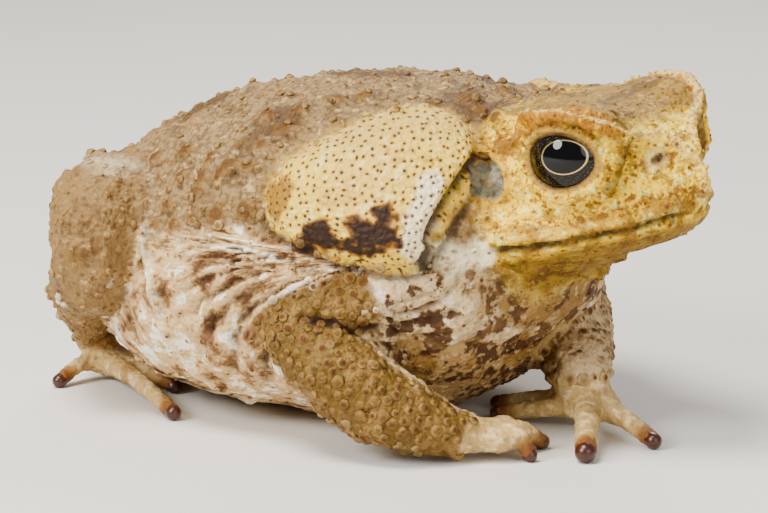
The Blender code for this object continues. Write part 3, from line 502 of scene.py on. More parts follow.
def digit_stations(digit):
    """Root, knuckle and tip of a finger or toe with their radii."""
    root, knuckle, tip, radius = digit
    return ((root, radius + ROOT_SWELL), (knuckle, radius), (tip, radius * TIP_SHARE))


def toad_surface():
    """The whole animal as one fine closed surface, fused from its masses in stages."""
    core = [trunk(), skull()]
    core += [tube(stations, side) for side in SIDES for stations in (UPPER_ARM[side], THIGH)]
    shape = fused(core, CORE_GRAIN, CORE_EASE)
    limbs = [shape]
    for side in SIDES:
        limbs += [gland(side), tube(FOREARM[side], side), tube(SHANK, side), tube(TARSUS, side)]
        limbs += [ball(*PALM[side], side), ball(*FOOT_PAD, side)]
    shape = fused(limbs, LIMB_GRAIN, LIMB_EASE)
    digits = [tube(digit_stations(digit), side) for side in SIDES for digit in FINGERS[side] + TOES]
    shape = fused([shape, *digits, *face_shapes()], FACE_GRAIN, 1)
    out = eye_axes()[2]
    openings = [ball(np.array(EYE) + EYE_FORWARD + out * EYE_OPENING_SHIFT, EYE_OPENING, side, HEAD)
                for side in SIDES]
    shape = hollowed(shape, openings)
    rims = [cord(lid_ring(), LID_RING_RADIUS, side, HEAD, 1) for side in SIDES]
    rims += [cord(lid_ring(LID_PAD, LID_PAD_LIFT), LID_PAD_RADIUS, side, HEAD, 1) for side in SIDES]
    rims += [ball(NOSTRIL, NOSTRIL_RIM, side, HEAD) for side in SIDES]
    shape = fused([shape, *rims], FACE_GRAIN, 1)
    rooms = [ball(EYE_SEAT, (EYEBALL_RADIUS,) * 3, side, HEAD, 40, 64) for side in SIDES]
    rooms += [cord(NOSTRIL_SLOT, NOSTRIL_RADIUS, side, HEAD) for side in SIDES]
    return fused([hollowed(shape, rooms)], SKIN_GRAIN, SKIN_EASE)


def step_up(value, low, high):
    """0 below low, 1 above high and an eased slope between, also when low is above high.

    The masks and folds below are built from it, with both ends of each slope in mm, or in shares of a radius.
    """
    t = np.clip((value - low) / (high - low), 0.0, 1.0)
    return t * t * (3.0 - 2.0 * t)


def ripples(points, wave, seed, count=26):
    """Soft noise from -1 to 1: a sum of cosine waves of about one wavelength in seeded directions."""
    draw = np.random.default_rng(seed)
    ways = draw.normal(size=(count, 3))
    ways *= (2.0 * math.pi / wave) * draw.uniform(*NOISE_SPREAD, (count, 1)) / np.linalg.norm(ways, axis=1)[:, None]
    total = np.cos(points @ ways.T + draw.uniform(0.0, 2.0 * math.pi, count)).sum(axis=1)
    return np.clip(total / math.sqrt(count) / NOISE_PEAK, -1.0, 1.0)


def near_path(points, path, radii=None):
    """Distance from each point to a polyline (less its radius there), and the offset from it."""
    path = np.asarray(path, float)
    radii = np.zeros(len(path)) if radii is None else np.asarray(radii, float)
    best, offset = np.full(len(points), 1e9), np.zeros((len(points), 3))
    for k in range(len(path) - 1):
        span = path[k + 1] - path[k]
        t = np.clip((points - path[k]) @ span / (span @ span), 0.0, 1.0)
        away = points - path[k] - t[:, None] * span
        gap = np.linalg.norm(away, axis=1) - radii[k] - t * (radii[k + 1] - radii[k])
        closer = gap < best
        best[closer], offset[closer] = gap[closer], away[closer]
    return best, offset


def near_limb(points, stations, side):
    """Distance to a limb's round surface, and the offset from its axis."""
    centres = on_side([centre for centre, _ in stations], side)
    return near_path(points, centres, [radius for _, radius in stations])


def gland_reach(x, y):
    """How far out a point lies in the gland's outline: 0 at its middle and 1 on its edge."""
    loop = smoothed(GLAND_EDGE + GLAND_EDGE[:1], 6)[:-1] - GLAND_MIDDLE
    turn, radius = np.arctan2(loop[:, 1], loop[:, 0]), np.hypot(loop[:, 0], loop[:, 1])
    x, y = x - GLAND_MIDDLE[0], y - GLAND_MIDDLE[1]
    return np.hypot(x, y) / np.interp(np.arctan2(y, x), turn, radius, period=2.0 * math.pi)


def beside(points, line, start, full, noise=0.0):
    """1 closer to a line than the full distance, 0 beyond the starting one, with an eased slope between."""
    return step_up(near_path(points, line)[0] + noise, start, full)


def about(points, places, start, full, noise=0.0):
    """The same about the nearest of several places."""
    gaps = [np.linalg.norm(points - np.array(place), axis=1) for place in places]
    return step_up(np.min(gaps, axis=0) + noise, start, full)


def flank_flow(left):
    """Place on the flank in a fan of curves from the armpit: (which curve, way along it, angle)."""
    back, down = FOLD_APEX[0] - left[:, 0], FOLD_APEX[1] - left[:, 2]
    reach = np.hypot(back, down)
    turn = np.degrees(np.arctan2(down, back))
    curve = np.log(np.clip(turn + 10.0, 2.0, 100.0) / np.maximum(reach, 3.0))
    return curve, reach, turn


class Surface:
    """Everything that the masks and folds ask of points on the toad, worked out once.

    side is 1 on the left and -1 on the right. left holds the points as if all were on the left, local the same
    in the head's frame, and flat the points in their gland's frame; deep is the distance from the gland's plane,
    and by_gland is 1 where it is small. soft, fine and grain are noises. arm, leg, digit and tip are distances
    in mm, and inner is 1 on an arm's hidden side. mouth is the distance from the mouth's line and over_mouth the
    height above it. eye is the offset from the eyeball's middle (along the lids, up, out), and ring its share
    of the lids' ring.
    """

    def __init__(self, points):
        count = len(points)
        self.points = points
        self.side = np.where(points[:, 1] > 0.0, 1.0, -1.0)
        self.left = points * np.column_stack([np.ones(count), self.side, np.ones(count)])
        self.local = unplaced(points, HEAD)
        self.local[:, 1] = np.abs(self.local[:, 1])
        self.soft, self.fine, self.grain = (ripples(points, *noise) for noise in SURFACE_NOISES)
        self.flat, self.gland_share = np.zeros((count, 3)), np.full(count, FAR_SHARE)
        self.arm, self.leg, self.digit, self.tip = (np.full(count, FAR) for _ in range(4))
        self.inner = np.zeros(count)
        for side in SIDES:
            self.measure(self.side == side, side)
            self.measure_digits(side)
        self.deep = np.abs(self.flat[:, 2])
        self.by_gland = step_up(self.deep, 9.0, 7.0)
        self.mouth = near_path(self.local, MOUTH_LINE)[0]
        self.over_mouth = self.local[:, 2] - np.interp(self.local[:, 0], *MOUTH_LEVEL)
        self.eye = (self.local - EYE_SEAT) @ np.stack(eye_axes(), axis=1)
        self.ring = np.hypot(self.eye[:, 0] / LID_RING[0], self.eye[:, 1] / LID_RING[1])

    def measure(self, mine, side):
        """Distances of one side's points to that side's gland and limbs."""
        points = self.points[mine]
        spot = unplaced(points, gland_matrix(side))
        self.flat[mine] = spot
        self.gland_share[mine] = gland_reach(spot[:, 0], spot[:, 1])
        near = [near_limb(points, stations, side) for stations in (UPPER_ARM[side][1:], FOREARM[side])]
        closest = np.argmin([gap for gap, _ in near], axis=0)
        self.arm[mine] = np.choose(closest, [gap for gap, _ in near])
        offset = np.where(closest[:, None] == 0, near[0][1], near[1][1])
        inward = offset @ on_side(INWARD[side], side)
        self.inner[mine] = inward / np.maximum(np.linalg.norm(offset, axis=1), 0.1)
        legs = [near_limb(points, stations, side)[0] for stations in (THIGH[1:], SHANK, TARSUS)]
        self.leg[mine] = np.min(legs, axis=0)

    def measure_digits(self, side):
        """Distances of all points to one side's fingers, toes and pads, since a finger crosses the middle."""
        digits = FINGERS[side] + TOES
        gaps = [near_limb(self.points, digit_stations(digit), side)[0] for digit in digits]
        for centre, radii in (PALM[side], FOOT_PAD):
            share = np.linalg.norm((self.points - on_side(centre, side)) / np.array(radii), axis=1)
            gaps.append(PAD_SCALE * share - PAD_REACH)
        self.digit = np.minimum(self.digit, np.min(gaps, axis=0))
        ends = [np.linalg.norm(self.points - on_side(digit[2], side), axis=1) for digit in digits]
        self.tip = np.minimum(self.tip, np.min(ends, axis=0))


def markings(at):
    """Where each kind of skin lies, as masks from 0 to 1, and the coordinates that streaks and pores follow."""
    head = step_up(at.local[:, 0] + 0.2 * at.local[:, 2] + 0.9 * at.soft + 0.5 * at.fine, -14.6, -11.8)
    head *= step_up(at.points[:, 0], 22.0, 26.0) * step_up(at.local[:, 2], -27.0, -20.0)
    edge = 0.02 + 0.16 * step_up(at.flat[:, 1], 0.0, 7.0) * step_up(at.flat[:, 0], 15.0, 5.0)
    gland = step_up(at.gland_share + 0.03 * at.fine, 1.04 + edge, 1.0 - edge) * step_up(at.deep, 10.0, 8.0)
    mask = {"head": head, "gland": gland, "flow": flow_place(at, head), "flat": unrolled(at.flat, at.deep)}
    mask.update(limb_masks(at, head, gland))
    mask.update(trunk_masks(at, mask))
    mask.update(face_masks(at, head))
    for name, find in (("dark", dark_mask), ("orange", orange_mask), ("white", white_mask), ("stain", stain_mask)):
        mask[name] = find(at)
    return mask


def flow_place(at, head):
    """Where streaks run: along the flank's curves, level over the chest, and lengthwise on the head."""
    curve, reach, _ = flank_flow(at.left)
    flow = np.column_stack([9.0 * curve, 0.45 * reach, at.left[:, 1]])
    flow = np.where(at.left[:, :1] > 18.0, at.left @ np.array(CHEST_TILT), flow)
    return np.where(head[:, None] > 0.5, at.local * (0.4, 1.0, 1.0), flow)


def unrolled(flat, deep):
    """The gland's plane, widened on its side walls by their distance below the top, so pores stay round."""
    drop = np.clip(PAROTOID_HALF_THICKNESS - deep, 0.0, 6.0)
    wall = 1.0 + 0.9 * drop / (np.hypot(flat[:, 0], flat[:, 1]) + 1.0)
    return flat * np.column_stack([wall, wall, np.zeros(len(wall))])


def limb_masks(at, head, gland):
    """Arms, their hidden side, legs, fingers and toes with their ends."""
    digit = step_up(at.digit + 0.3 * at.fine, 2.3, 1.1) * step_up(at.points[:, 2], 12.0, 8.5)
    arm = step_up(at.arm, 1.2, 0.2) * (1.0 - digit) * (1.0 - head) * (1.0 - gland)
    return {"digit": digit, "arm": arm, "leg": step_up(at.leg, 1.2, 0.2) * (1.0 - digit),
            "inner": arm * step_up(at.inner + 0.15 * at.fine, 0.05, 0.45), "end": step_up(at.tip, 3.4, 1.7)}


def trunk_masks(at, known):
    """The pale flank and belly with their creases, the chest, and the dark patches of the back."""
    left, points, soft, fine = at.left, at.points, at.soft, at.fine
    row = np.interp(left[:, 0], *PALE_LEVEL)
    pale = step_up(points[:, 2] + 0.9 * soft + 0.5 * fine, row + 0.7, row - 0.9)
    pale *= np.prod([1.0 - known[name] for name in ("arm", "leg", "head", "digit", "gland")], axis=0)
    chest = pale * step_up(left[:, 0] + 1.5 * soft, 13.0, 18.0)
    chest *= step_up(points[:, 2] + 1.2 * soft + 0.6 * fine, 18.6, 16.4)
    chest = np.maximum(chest, pale * step_up(at.local[:, 0] + 1.2 * fine, -14.0, -10.0))
    patches = [np.linalg.norm((points - (x, y, z)) / (r, r, 2.0 * r), axis=1) for x, y, z, r in BACK_PATCHES]
    return {"pale": pale, "chest": chest, "front": pale * step_up(left[:, 0], 16.0, 20.0),
            "crease": (1.0 - fold_height(at)) * pale,
            "patch": step_up(np.min(patches, axis=0) + 0.35 * soft + 0.3 * fine, 1.1, 0.7)}


def face_masks(at, head):
    """Lips, lids, nostrils, bony ridges, ear drums, crown and jaw."""
    local, fine = at.local, at.fine
    rim = beside(local, lid_ring(), 1.1, 0.8)
    lid = beside(local, LID_EDGE, 4.2, 3.0) * step_up(at.eye[:, 2], 0.5, 2.0) * step_up(at.eye[:, 1], 2.6, 3.8)
    mottle = step_up(np.abs(at.mouth - 3.1 + 0.5 * fine), 1.3, 0.6) * head
    mottle *= step_up(at.over_mouth, 0.6, 1.6) * step_up(local[:, 0], -11.0, 2.0)
    crest = beside(local, [(x, y - 0.2, z + 1.0) for x, y, z in LID_EDGE], 1.0, 0.5, 0.3 * fine)
    bone = beside(local, CANTHUS, 1.3, 0.6, 0.35 * fine)
    snout = beside(local, SNOUT_RIDGE, 1.2, 0.6, 0.3 * fine)
    ear = ear_share(at)
    lips = step_up(at.mouth, 4.4, 2.0) * step_up(local[:, 0], -12.0, -9.5) * step_up(at.over_mouth, -2.2, 0.4)
    return {"rim": rim, "lid": lid * (1.0 - rim), "lips": lips, "mottle": mottle,
            "nose": about(local, NOSTRIL_SLOT[1:2], 2.4, 1.7, 0.2 * fine),
            "bone": np.max([crest, bone * 0.7, snout * 0.45], axis=0),
            "ear": step_up(ear, 1.06, 0.94), "ear_rim": step_up(np.abs(ear - 1.2), 0.26, 0.12),
            "crown": head * step_up(local[:, 2] + 0.1 * local[:, 0] + 0.5 * fine, 4.0, 6.2),
            "jaw": head * step_up(at.over_mouth, -1.2, -3.0)}


def ear_share(at):
    """How far from the middle of the ear drum a point lies, in radii, seen along its outward way."""
    out = np.array(Vector(TYMPANUM_OUTWARD).normalized())
    spot = at.local - np.array(TYMPANUM)
    high = spot @ out
    flat = spot - np.outer(high, out)
    share = np.hypot(flat[:, 0] / TYMPANUM_RADII[0], flat[:, 2] / TYMPANUM_RADII[1])
    return share + step_up(np.abs(high), 3.0, 5.0) * 9.0


def dark_mask(at):
    """Dark marks, mostly painted shade in grooves, creases and under overhangs: mouth, neck groove, nostrils, arm's
    crease, under the brow, before the eye's front ridge, under the row of warts and under the gland; also the lids'
    inner edge and a spot below the eye.
    """
    local, left, fine = at.local, at.left, at.fine
    # Painted shade in the groove of the mouth's line
    mouth = step_up(at.mouth + 0.1 * fine, 1.1, 0.5) * step_up(local[:, 0], -11.0, -8.0)
    lash = 0.85 * step_up(at.ring, 1.03, 0.97) * step_up(at.eye[:, 2], 1.0, 2.0)
    # Painted shade under the brow, along the lids' fold
    fold = 0.7 * np.exp(-((at.ring - LID_FOLD) / 0.08) ** 2)
    fold *= step_up(at.eye[:, 1], 1.0, 3.0) * step_up(at.eye[:, 2], 0.0, 1.0)
    # Painted shade in the neck groove, the nostrils' openings and the arm's crease
    groove = beside(left, NECK_GROOVE, 1.9, 0.7, 0.5 * fine)
    nostril_shade = beside(local, NOSTRIL_SLOT, 1.0, 0.6)
    crease = beside(left, ARM_CREASE, 1.2, 0.35)
    # Painted shade just before the eye's front ridge
    before_ridge = [(x + 1.5, y - 0.8, z) for x, y, z in EYE_FRONT_RIDGE]
    ridge_shade = 0.7 * beside(local, before_ridge, 1.9, 0.4, 0.4 * fine)
    tear = 0.5 * about(local, [TEAR_SPOT], 1.3, 0.5, 0.3 * fine)
    # Painted shadow under the row of big warts
    row = 0.7 * beside(left, [(x, y, z - 2.3) for (x, y, z), _ in WART_ROW], 1.2, 0.4, 0.4 * fine)
    # Painted shadow in the groove under the gland's lower edge
    gland_shadow = 0.75 * step_up(np.abs(at.gland_share - 1.07), 0.05, 0.02) * step_up(at.flat[:, 1], -1.0, -5.0)
    gland_shadow *= at.by_gland
    return np.max([mouth, lash, fold, groove, nostril_shade, crease, ridge_shade, tear, row, gland_shadow], axis=0)


def orange_mask(at):
    """Orange and rust: ear ridge, fold before the eye, lip stains, snout, digits and the gland's rear end."""
    local, flat, fine = at.local, at.flat, at.fine
    ear = beside(local, EAR_RIDGE, 2.1, 1.1, 0.3 * fine)
    fold = 0.85 * beside(local, EYE_FRONT_RIDGE, 1.7, 0.7, 0.3 * fine)
    rear = step_up(np.hypot((flat[:, 0] + 14.6) / 2.9, (flat[:, 1] + 0.6) / 3.4) + 0.25 * fine, 1.1, 0.75)
    rear *= at.by_gland
    lips = step_up(at.mouth, 2.4, 0.9) * step_up(fine + 0.5 * at.grain + 0.03 * local[:, 0], 0.15, 0.6)
    lips *= 0.9 * step_up(local[:, 0], -11.0, -9.0)
    snout = 0.5 * step_up(local[:, 0] + fine, 8.0, 14.0) * step_up(np.abs(local[:, 2] + 9.0), 6.0, 3.0)
    snout *= step_up(fine, 0.0, 0.6)
    return np.max([ear, fold, rear, lips, snout, 0.7 * step_up(at.tip, 4.4, 2.8)], axis=0)


def white_mask(at):
    """Cream patches behind the jaw's angle, along the gland's lower front and on the flank's rim, and a painted
    highlight on the knee's top.
    """
    jaw = about(at.left + 0.5 * at.fine[:, None], JAW_PATCH, 3.0, 1.6)
    strip = beside(at.flat * (1, 1, 0), GLAND_STRIP, 2.4, 1.3, 0.6 * at.fine) * at.by_gland
    knee_highlight = 0.4 * about(at.left, [KNEE_HIGHLIGHT], 7.0, 1.0, 1.5 * at.fine)
    rim = 0.6 * beside(at.left, FLANK_RIM, 1.3, 0.3, 0.5 * at.fine)
    return np.max([jaw, strip, knee_highlight, rim], axis=0)


def stain_mask(at):
    """The dark blotch on the gland's lower edge, in three lobes."""
    x, y = at.flat[:, 0], at.flat[:, 1]
    lobes = [np.hypot((x - cx) / rx, (y - cy) / ry) for cx, cy, rx, ry in GLAND_STAIN]
    stain = step_up(np.min(lobes, axis=0) + 0.3 * at.fine + 0.25 * at.grain, 1.1, 0.7)
    return stain * at.by_gland


def fold_height(at):
    """Height of the flank's soft folds, 0 in a crease and 1 on a fold."""
    curve, reach, turn = flank_flow(at.left)
    wave = np.abs(np.sin(math.pi * (curve + 0.05 * at.soft + 0.03 * at.fine) / FOLD_STEP)) ** 0.7
    here = step_up(reach, 3.0, 7.0) * step_up(reach, 42.0, 26.0) * step_up(turn, -8.0, -3.0)
    return 1.0 - (1.0 - wave) * here * step_up(at.left[:, 2], 5.0, 12.0) * step_up(at.left[:, 1], 18.0, 26.0)


def knobs(points, places, radii):
    """Round swellings over the places: (1 - g^2)^0.8 of the gap g in radii, and the tallest lift in mm."""
    share, lift = np.zeros(len(points)), np.zeros(len(points))
    for start in range(0, len(places), 64):
        here, size = places[start:start + 64], radii[start:start + 64]
        gap = np.linalg.norm(points[:, None] - here[None], axis=2) / size[None]
        hump = (1.0 - np.minimum(gap, 1.0) ** 2) ** 0.8
        share = np.maximum(share, hump.max(axis=1))
        lift = np.maximum(lift, (hump * size[None]).max(axis=1))
    return share, lift


def shaped(at, normals, mask, swelling):
    """Folds, creases, ear drums, big warts and low swellings, moved along the surface's normals."""
    local, left, pale = at.local, at.left, mask["pale"]
    lift = -1.0 * step_up(at.mouth, 1.1, 0.2) * step_up(local[:, 0], -11.0, -8.0)
    lift -= 1.7 * beside(left, NECK_GROOVE, 2.4, 0.3)
    lift -= 1.1 * beside(left, ARM_CREASE, 1.6, 0.2)
    lift += 0.7 * beside(left, FLANK_RIM, 1.6, 0.4)
    above = step_up(at.eye[:, 1], 1.0, 3.0) * step_up(at.eye[:, 2], 0.0, 1.0)
    lift -= 0.6 * np.exp(-((at.ring - LID_FOLD) / 0.07) ** 2) * above
    ear = ear_share(at)
    lift += 0.4 * np.exp(-((ear - 1.16) / 0.16) ** 2) - 0.3 * step_up(ear, 1.05, 0.85)
    groove = np.exp(-((at.gland_share - 1.06) / 0.045) ** 2)
    lift -= 0.7 * groove * (at.by_gland * step_up(at.flat[:, 1], 9.0, 3.0))
    lift += 0.5 * pale * (1.0 - mask["chest"]) - 1.5 * mask["crease"]
    lift -= 0.8 * beside(left, CHEST_FOLD, 1.4, 0.2) * pale
    plain = np.clip(mask["digit"] + mask["rim"] + mask["ear"], 0.0, 1.0)
    back = (1.0 - mask["head"]) * (1.0 - mask["gland"]) * (1.0 - plain)
    lift += (0.22 * at.fine + 0.16 * at.grain) * np.where(mask["gland"] > 0.5, 0.35, 1.0) * (1.0 - plain)
    lift += 0.4 * ripples(at.points, 7.0, 7) * back
    lift += 0.12 * ripples(at.points, 1.2, 12) * mask["digit"]
    moved = at.points + normals * (lift + swelling)[:, None]
    moved[:, 2] = np.maximum(moved[:, 2], 0.0)
    return moved


def triangle_normals(points, faces):
    """Normals at the points, summed from the triangles that meet there."""
    a, b, c = (points[faces[:, k]] for k in range(3))
    across = np.cross(b - a, c - a)
    normals = np.zeros_like(points)
    for k in range(3):
        np.add.at(normals, faces[:, k], across)
    return normals / np.maximum(np.linalg.norm(normals, axis=1), 1e-12)[:, None]


def triangulated(corners, sizes):
    """Quads and triangles as triangles."""
    starts = np.cumsum(sizes) - sizes
    quads, threes = starts[sizes == 4][:, None], starts[sizes == 3][:, None]
    return corners[np.vstack([quads + (0, 1, 2), quads + (0, 2, 3), threes + (0, 1, 2)])]


def row_mesh(name, points, faces):
    """A finished object in the row's frame, at the origin, from points in mm and triangles."""
    obj = new_object(name, (points + SHIFT) * MM, faces.ravel(), np.full(len(faces), 3))
    obj.data.validate()
    obj.data.shade_smooth()
    return obj


MASKS = ("head", "crown", "jaw", "gland", "digit", "arm", "leg", "inner", "pale", "chest", "crease", "lips", "lid",
         "rim", "dark", "orange", "white", "stain", "bone", "ear", "ear_rim", "end", "patch", "bulb", "nose",
         "front", "mottle")


def keep_markings(mesh, mask, warts, tips):
    """Store the masks, the warts and their tips, and the gland's and flank's own coordinates on a mesh."""
    for name, values in [(name, mask[name]) for name in MASKS] + [("wart", warts), ("tip", tips)]:
        layer = mesh.attributes.new(name, "FLOAT", "POINT")
        layer.data.foreach_set("value", np.asarray(values, np.float32))
    for name in ("flat", "flow"):
        layer = mesh.attributes.new(name, "FLOAT_VECTOR", "POINT")
        layer.data.foreach_set("vector", (mask[name] * MM).astype(np.float32).ravel())


def keep_bake_map(mesh, points):
    """A UV map of the skin's smooth form: the box face that each polygon looks at, six to the sheet."""
    faces = np.empty(len(mesh.loops), np.int64)
    mesh.loops.foreach_get("vertex_index", faces)
    faces = faces.reshape(-1, 3)
    normals = triangle_normals(points, faces)[faces].mean(axis=1)
    axis = np.argmax(np.abs(normals), axis=1)
    sign = np.take_along_axis(normals, axis[:, None], 1)[:, 0] > 0.0
    unit = (points[faces] - points.min(axis=0)) / np.ptp(points, axis=0).max()
    across, rise = np.where(axis == 0, 1, 0), np.where(axis == 2, 1, 2)
    u = np.take_along_axis(unit, across[:, None, None], 2)[:, :, 0]
    v = np.take_along_axis(unit, rise[:, None, None], 2)[:, :, 0]
    cell_u, cell_v = (axis + BAKE_MARGIN) / 3.0, (sign + BAKE_MARGIN) / 2.0
    uv = np.stack([cell_u[:, None] + u * BAKE_PART[0], cell_v[:, None] + v * BAKE_PART[1]], axis=-1)
    mesh.uv_layers.new(name="OFBake").data.foreach_set("uv", uv.astype(np.float32).ravel())


def seats(points, spacing, weight, seed):
    """Seeded places no closer than the spacing: of points that lie close, the lowest drawn number stays."""
    draw = np.random.default_rng(seed)
    chosen = np.flatnonzero(draw.random(len(points)) < weight)
    rank = draw.permutation(len(chosen))
    cells = np.floor(points[chosen] / (0.5 * spacing)).astype(np.int64) @ (1, SEAT_CELLS, SEAT_CELLS ** 2)
    order = np.lexsort((rank, cells))
    first = order[np.concatenate([[True], np.diff(cells[order]) != 0])]
    chosen, rank = chosen[first], rank[first].astype(np.float32)
    spots = (points[chosen] - points.mean(axis=0)).astype(np.float32)
    size = (spots ** 2).sum(axis=1)
    close = size[:, None] + size[None] - 2.0 * spots @ spots.T < spacing ** 2
    kept = np.zeros(len(chosen), bool)
    for _ in range(SEAT_ROUNDS):
        lowest = np.where(close, rank[None], np.inf).min(axis=1)
        winners = (rank == lowest) & np.isfinite(rank)
        kept |= winners
        rank[close[:, winners].any(axis=1)] = np.inf
    return chosen[kept]


def domes(points, normals, radii, heights, lean, profile, sides):
    """Many warts at once: rings of (width, rise) round each normal, closed by a tip and a sunk base."""
    across = np.cross(normals, WART_ASKEW)
    across /= np.linalg.norm(across, axis=1)[:, None]
    ahead = np.cross(normals, across)
    turn = np.linspace(0.0, 2.0 * math.pi, sides, endpoint=False)
    flat = np.cos(turn)[None, :, None] * across[:, None] + np.sin(turn)[None, :, None] * ahead[:, None]
    wide, rise = (np.array(column) for column in zip(*profile))
    up = normals[:, None] * rise[None, :, None] + lean[:, None] * np.maximum(rise, 0.0)[None, :, None] ** 2
    middle = points[:, None] + up * heights[:, None, None]
    rings = middle[:, :, None] + flat[:, None] * (radii[:, None] * wide[None])[:, :, None, None]
    tip = points + (normals * WART_TOP + lean) * heights[:, None]
    base = points + normals * (heights * rise[0])[:, None]
    verts = np.concatenate([rings.reshape(len(points), -1, 3), tip[:, None], base[:, None]], axis=1)
    side, after = np.arange(sides), (np.arange(sides) + 1) % sides
    start = (np.arange(len(profile) - 1) * sides)[:, None]
    a, b = (start + side).ravel(), (start + after).ravel()
    last, top = (len(profile) - 1) * sides, len(profile) * sides
    faces = np.vstack([np.stack([a, b, b + sides], 1), np.stack([a, b + sides, a + sides], 1),
                       np.stack([last + side, last + after, np.full(sides, top)], 1),
                       np.stack([after, side, np.full(sides, top + 1)], 1)])
    faces = faces[None] + (np.arange(len(points)) * verts.shape[1])[:, None, None]
    rises = np.concatenate([np.repeat(rise, sides), [WART_TOP, rise[0]]])
    return verts.reshape(-1, 3), faces.reshape(-1, 3), np.tile(rises, len(points)), verts.shape[1]


def add(tree, kind, settings=None, inputs=None, output=0):
    """Add a node, set its settings, fill or link its inputs by name or number, and give one output."""
    node = tree.nodes.new(kind)
    for name, value in (settings or {}).items():
        setattr(node, name, value)
    for name, value in (inputs or {}).items():
        socket = node.inputs[name]
        if isinstance(value, bpy.types.NodeSocket):
            tree.links.new(value, socket)
        else:
            socket.default_value = value
    return node.outputs[output]


def started(name, values):
    """A material with only its shader, given its even values, and the tree and shader to build on."""
    material = bpy.data.materials.new(name)
    material.use_nodes = True
    shader = material.node_tree.nodes["Principled BSDF"]
    for socket, value in values.items():
        shader.inputs[socket].default_value = value
    return material, material.node_tree, shader


def colour(code):
    """A hex colour as a node's colour value."""
    return (*linear(code), 1.0)


# Pigment and painted light, laid on in this order: for each mask, layers of (pattern, where it starts, where it is
# full, strength, colour), or of (strength, colour) all over the mask. The crease layer is painted shade, the dark
# layer mostly painted shade, and the white layer holds a painted highlight on the knee. Patterns are named in
# skin_patterns; "even" is the mask itself, and a mask of "all" is the whole skin.
PIGMENT_AND_PAINTED_LIGHT = (
    ("all", ("broad", 0.40, 0.60, 1.0, "#96794e"), ("middle", 0.50, 0.64, 0.8, "#6a5230"),
     ("small", 0.56, 0.68, 0.8, "#caa976"), ("grain", 0.45, 0.70, 0.6, "#52391c")),
    ("patch", (0.8, "#4a2e14")),
    ("leg", (0.9, "#876738"), ("middle", 0.52, 0.64, 0.8, "#664620"), ("small", 0.58, 0.70, 0.7, "#a88858"),
     ("dots", 0.34, 0.18, 0.6, "#4c2f10")),
    ("pale", (1.0, "#cda872"), ("flow", 0.51, 0.58, 0.85, "#7e5426"), ("flow", 0.58, 0.66, 0.9, "#42230b"),
     ("flow", 0.46, 0.38, 0.95, "#fff2d6")),
    ("front", (0.45, "#ead0a0"), ("middle", 0.49, 0.55, 0.95, "#4a2408")),
    # Painted shade in the creases between the flank's folds
    ("crease", ("even", 0.15, 0.7, 0.85, "#3c1f0a")),
    ("chest", (1.0, "#8c672e"), ("broad", 0.50, 0.56, 0.6, "#caa468"), ("middle", 0.49, 0.56, 0.95, "#42210a"),
     ("small", 0.56, 0.66, 0.5, "#e6c78c")),
    ("arm", (1.0, "#684c14"), ("middle", 0.46, 0.60, 0.7, "#947238"), ("small", 0.56, 0.68, 0.7, "#42270a")),
    ("inner", (0.9, "#d6b88a"), ("small", 0.55, 0.66, 0.6, "#7c5a2a")),
    ("head", (1.0, "#ffce00"), ("flow", 0.52, 0.61, 0.75, "#8a5c00"), ("small", 0.55, 0.63, 0.9, "#fff486"),
     ("small", 0.44, 0.36, 0.85, "#743c00"), ("speck", 0.52, 0.64, 0.4, "#8a5400")),
    ("crown", (0.92, "#82622a"), ("middle", 0.50, 0.62, 0.8, "#5e4418"), ("small", 0.55, 0.66, 0.7, "#b4924a")),
    ("jaw", (0.9, "#765406"), ("middle", 0.48, 0.62, 0.8, "#523000"), ("small", 0.56, 0.68, 0.8, "#ae8428")),
    ("gland", (1.0, "#eec540"), ("heart", 11.0, 3.0, 0.65, "#e0b458"), ("small", 0.54, 0.66, 0.6, "#fff0a0"),
     ("middle", 0.54, 0.66, 0.6, "#b07e22"), ("brow", 2.0, 9.0, 0.6, "#bc9c58")),
    ("lips", (0.7, "#d29e00"), ("flow", 0.50, 0.42, 0.9, "#fff07c"), ("middle", 0.52, 0.60, 0.6, "#6e4200")),
    ("mottle", ("small", 0.44, 0.54, 0.85, "#763c00")),
    ("lid", (1.0, "#a06a00"), ("small", 0.53, 0.62, 0.6, "#e8b400"), ("speck", 0.52, 0.62, 0.4, "#6e4000")),
    ("digit", (1.0, "#bd9a5c"), ("small", 0.45, 0.70, 0.7, "#f4dca6"), ("middle", 0.52, 0.66, 0.65, "#8a5618")),
    ("bone", (0.7, "#f2cf7a")),
    ("nose", (0.7, "#d8b468")),
    # Cream patches, with a painted highlight on the knee's top
    ("white", (0.9, "#fff0c4"), ("dots", 0.30, 0.16, 0.6, "#8a3a08")),
    ("orange", (0.85, "#7c4e00")),
    ("ear", (1.0, "#7e7a62"), ("small", 0.5, 0.62, 0.7, "#5a553e")),
    ("ear_rim", (0.6, "#d09a18")),
    ("gland", ("halo", 0.36, 0.22, 0.4, "#98580e"), ("pores", 0.20, 0.12, 0.9, "#241208")),
    ("stain", ("even", 0.0, 0.5, 0.9, "#6e3a06"), ("even", 0.45, 0.95, 0.95, "#1e0c03")),
    ("head", ("dots", 0.26, 0.13, 0.8, "#6a2a02")),
    ("end", (0.8, "#6a3406")),
    ("rim", (1.0, "#a47c2c")),
    ("bulb", (0.8, "#785010"), ("even", 0.75, 1.0, 0.7, "#4c2808")),
    # Mostly painted shade in grooves, creases and holes, under the brow, the warts and the gland; also the lids'
    # inner edge
    ("dark", (0.92, "#260a02")),
    ("wart", (1.0, "#c2a05a")),
    ("tip", ("even", 0.0, 0.7, 0.9, "#623406"), ("even", 0.6, 1.0, 0.8, "#2e1004")),
    ("all", ("speck", 0.58, 0.70, 0.35, "#3a2410")),
)


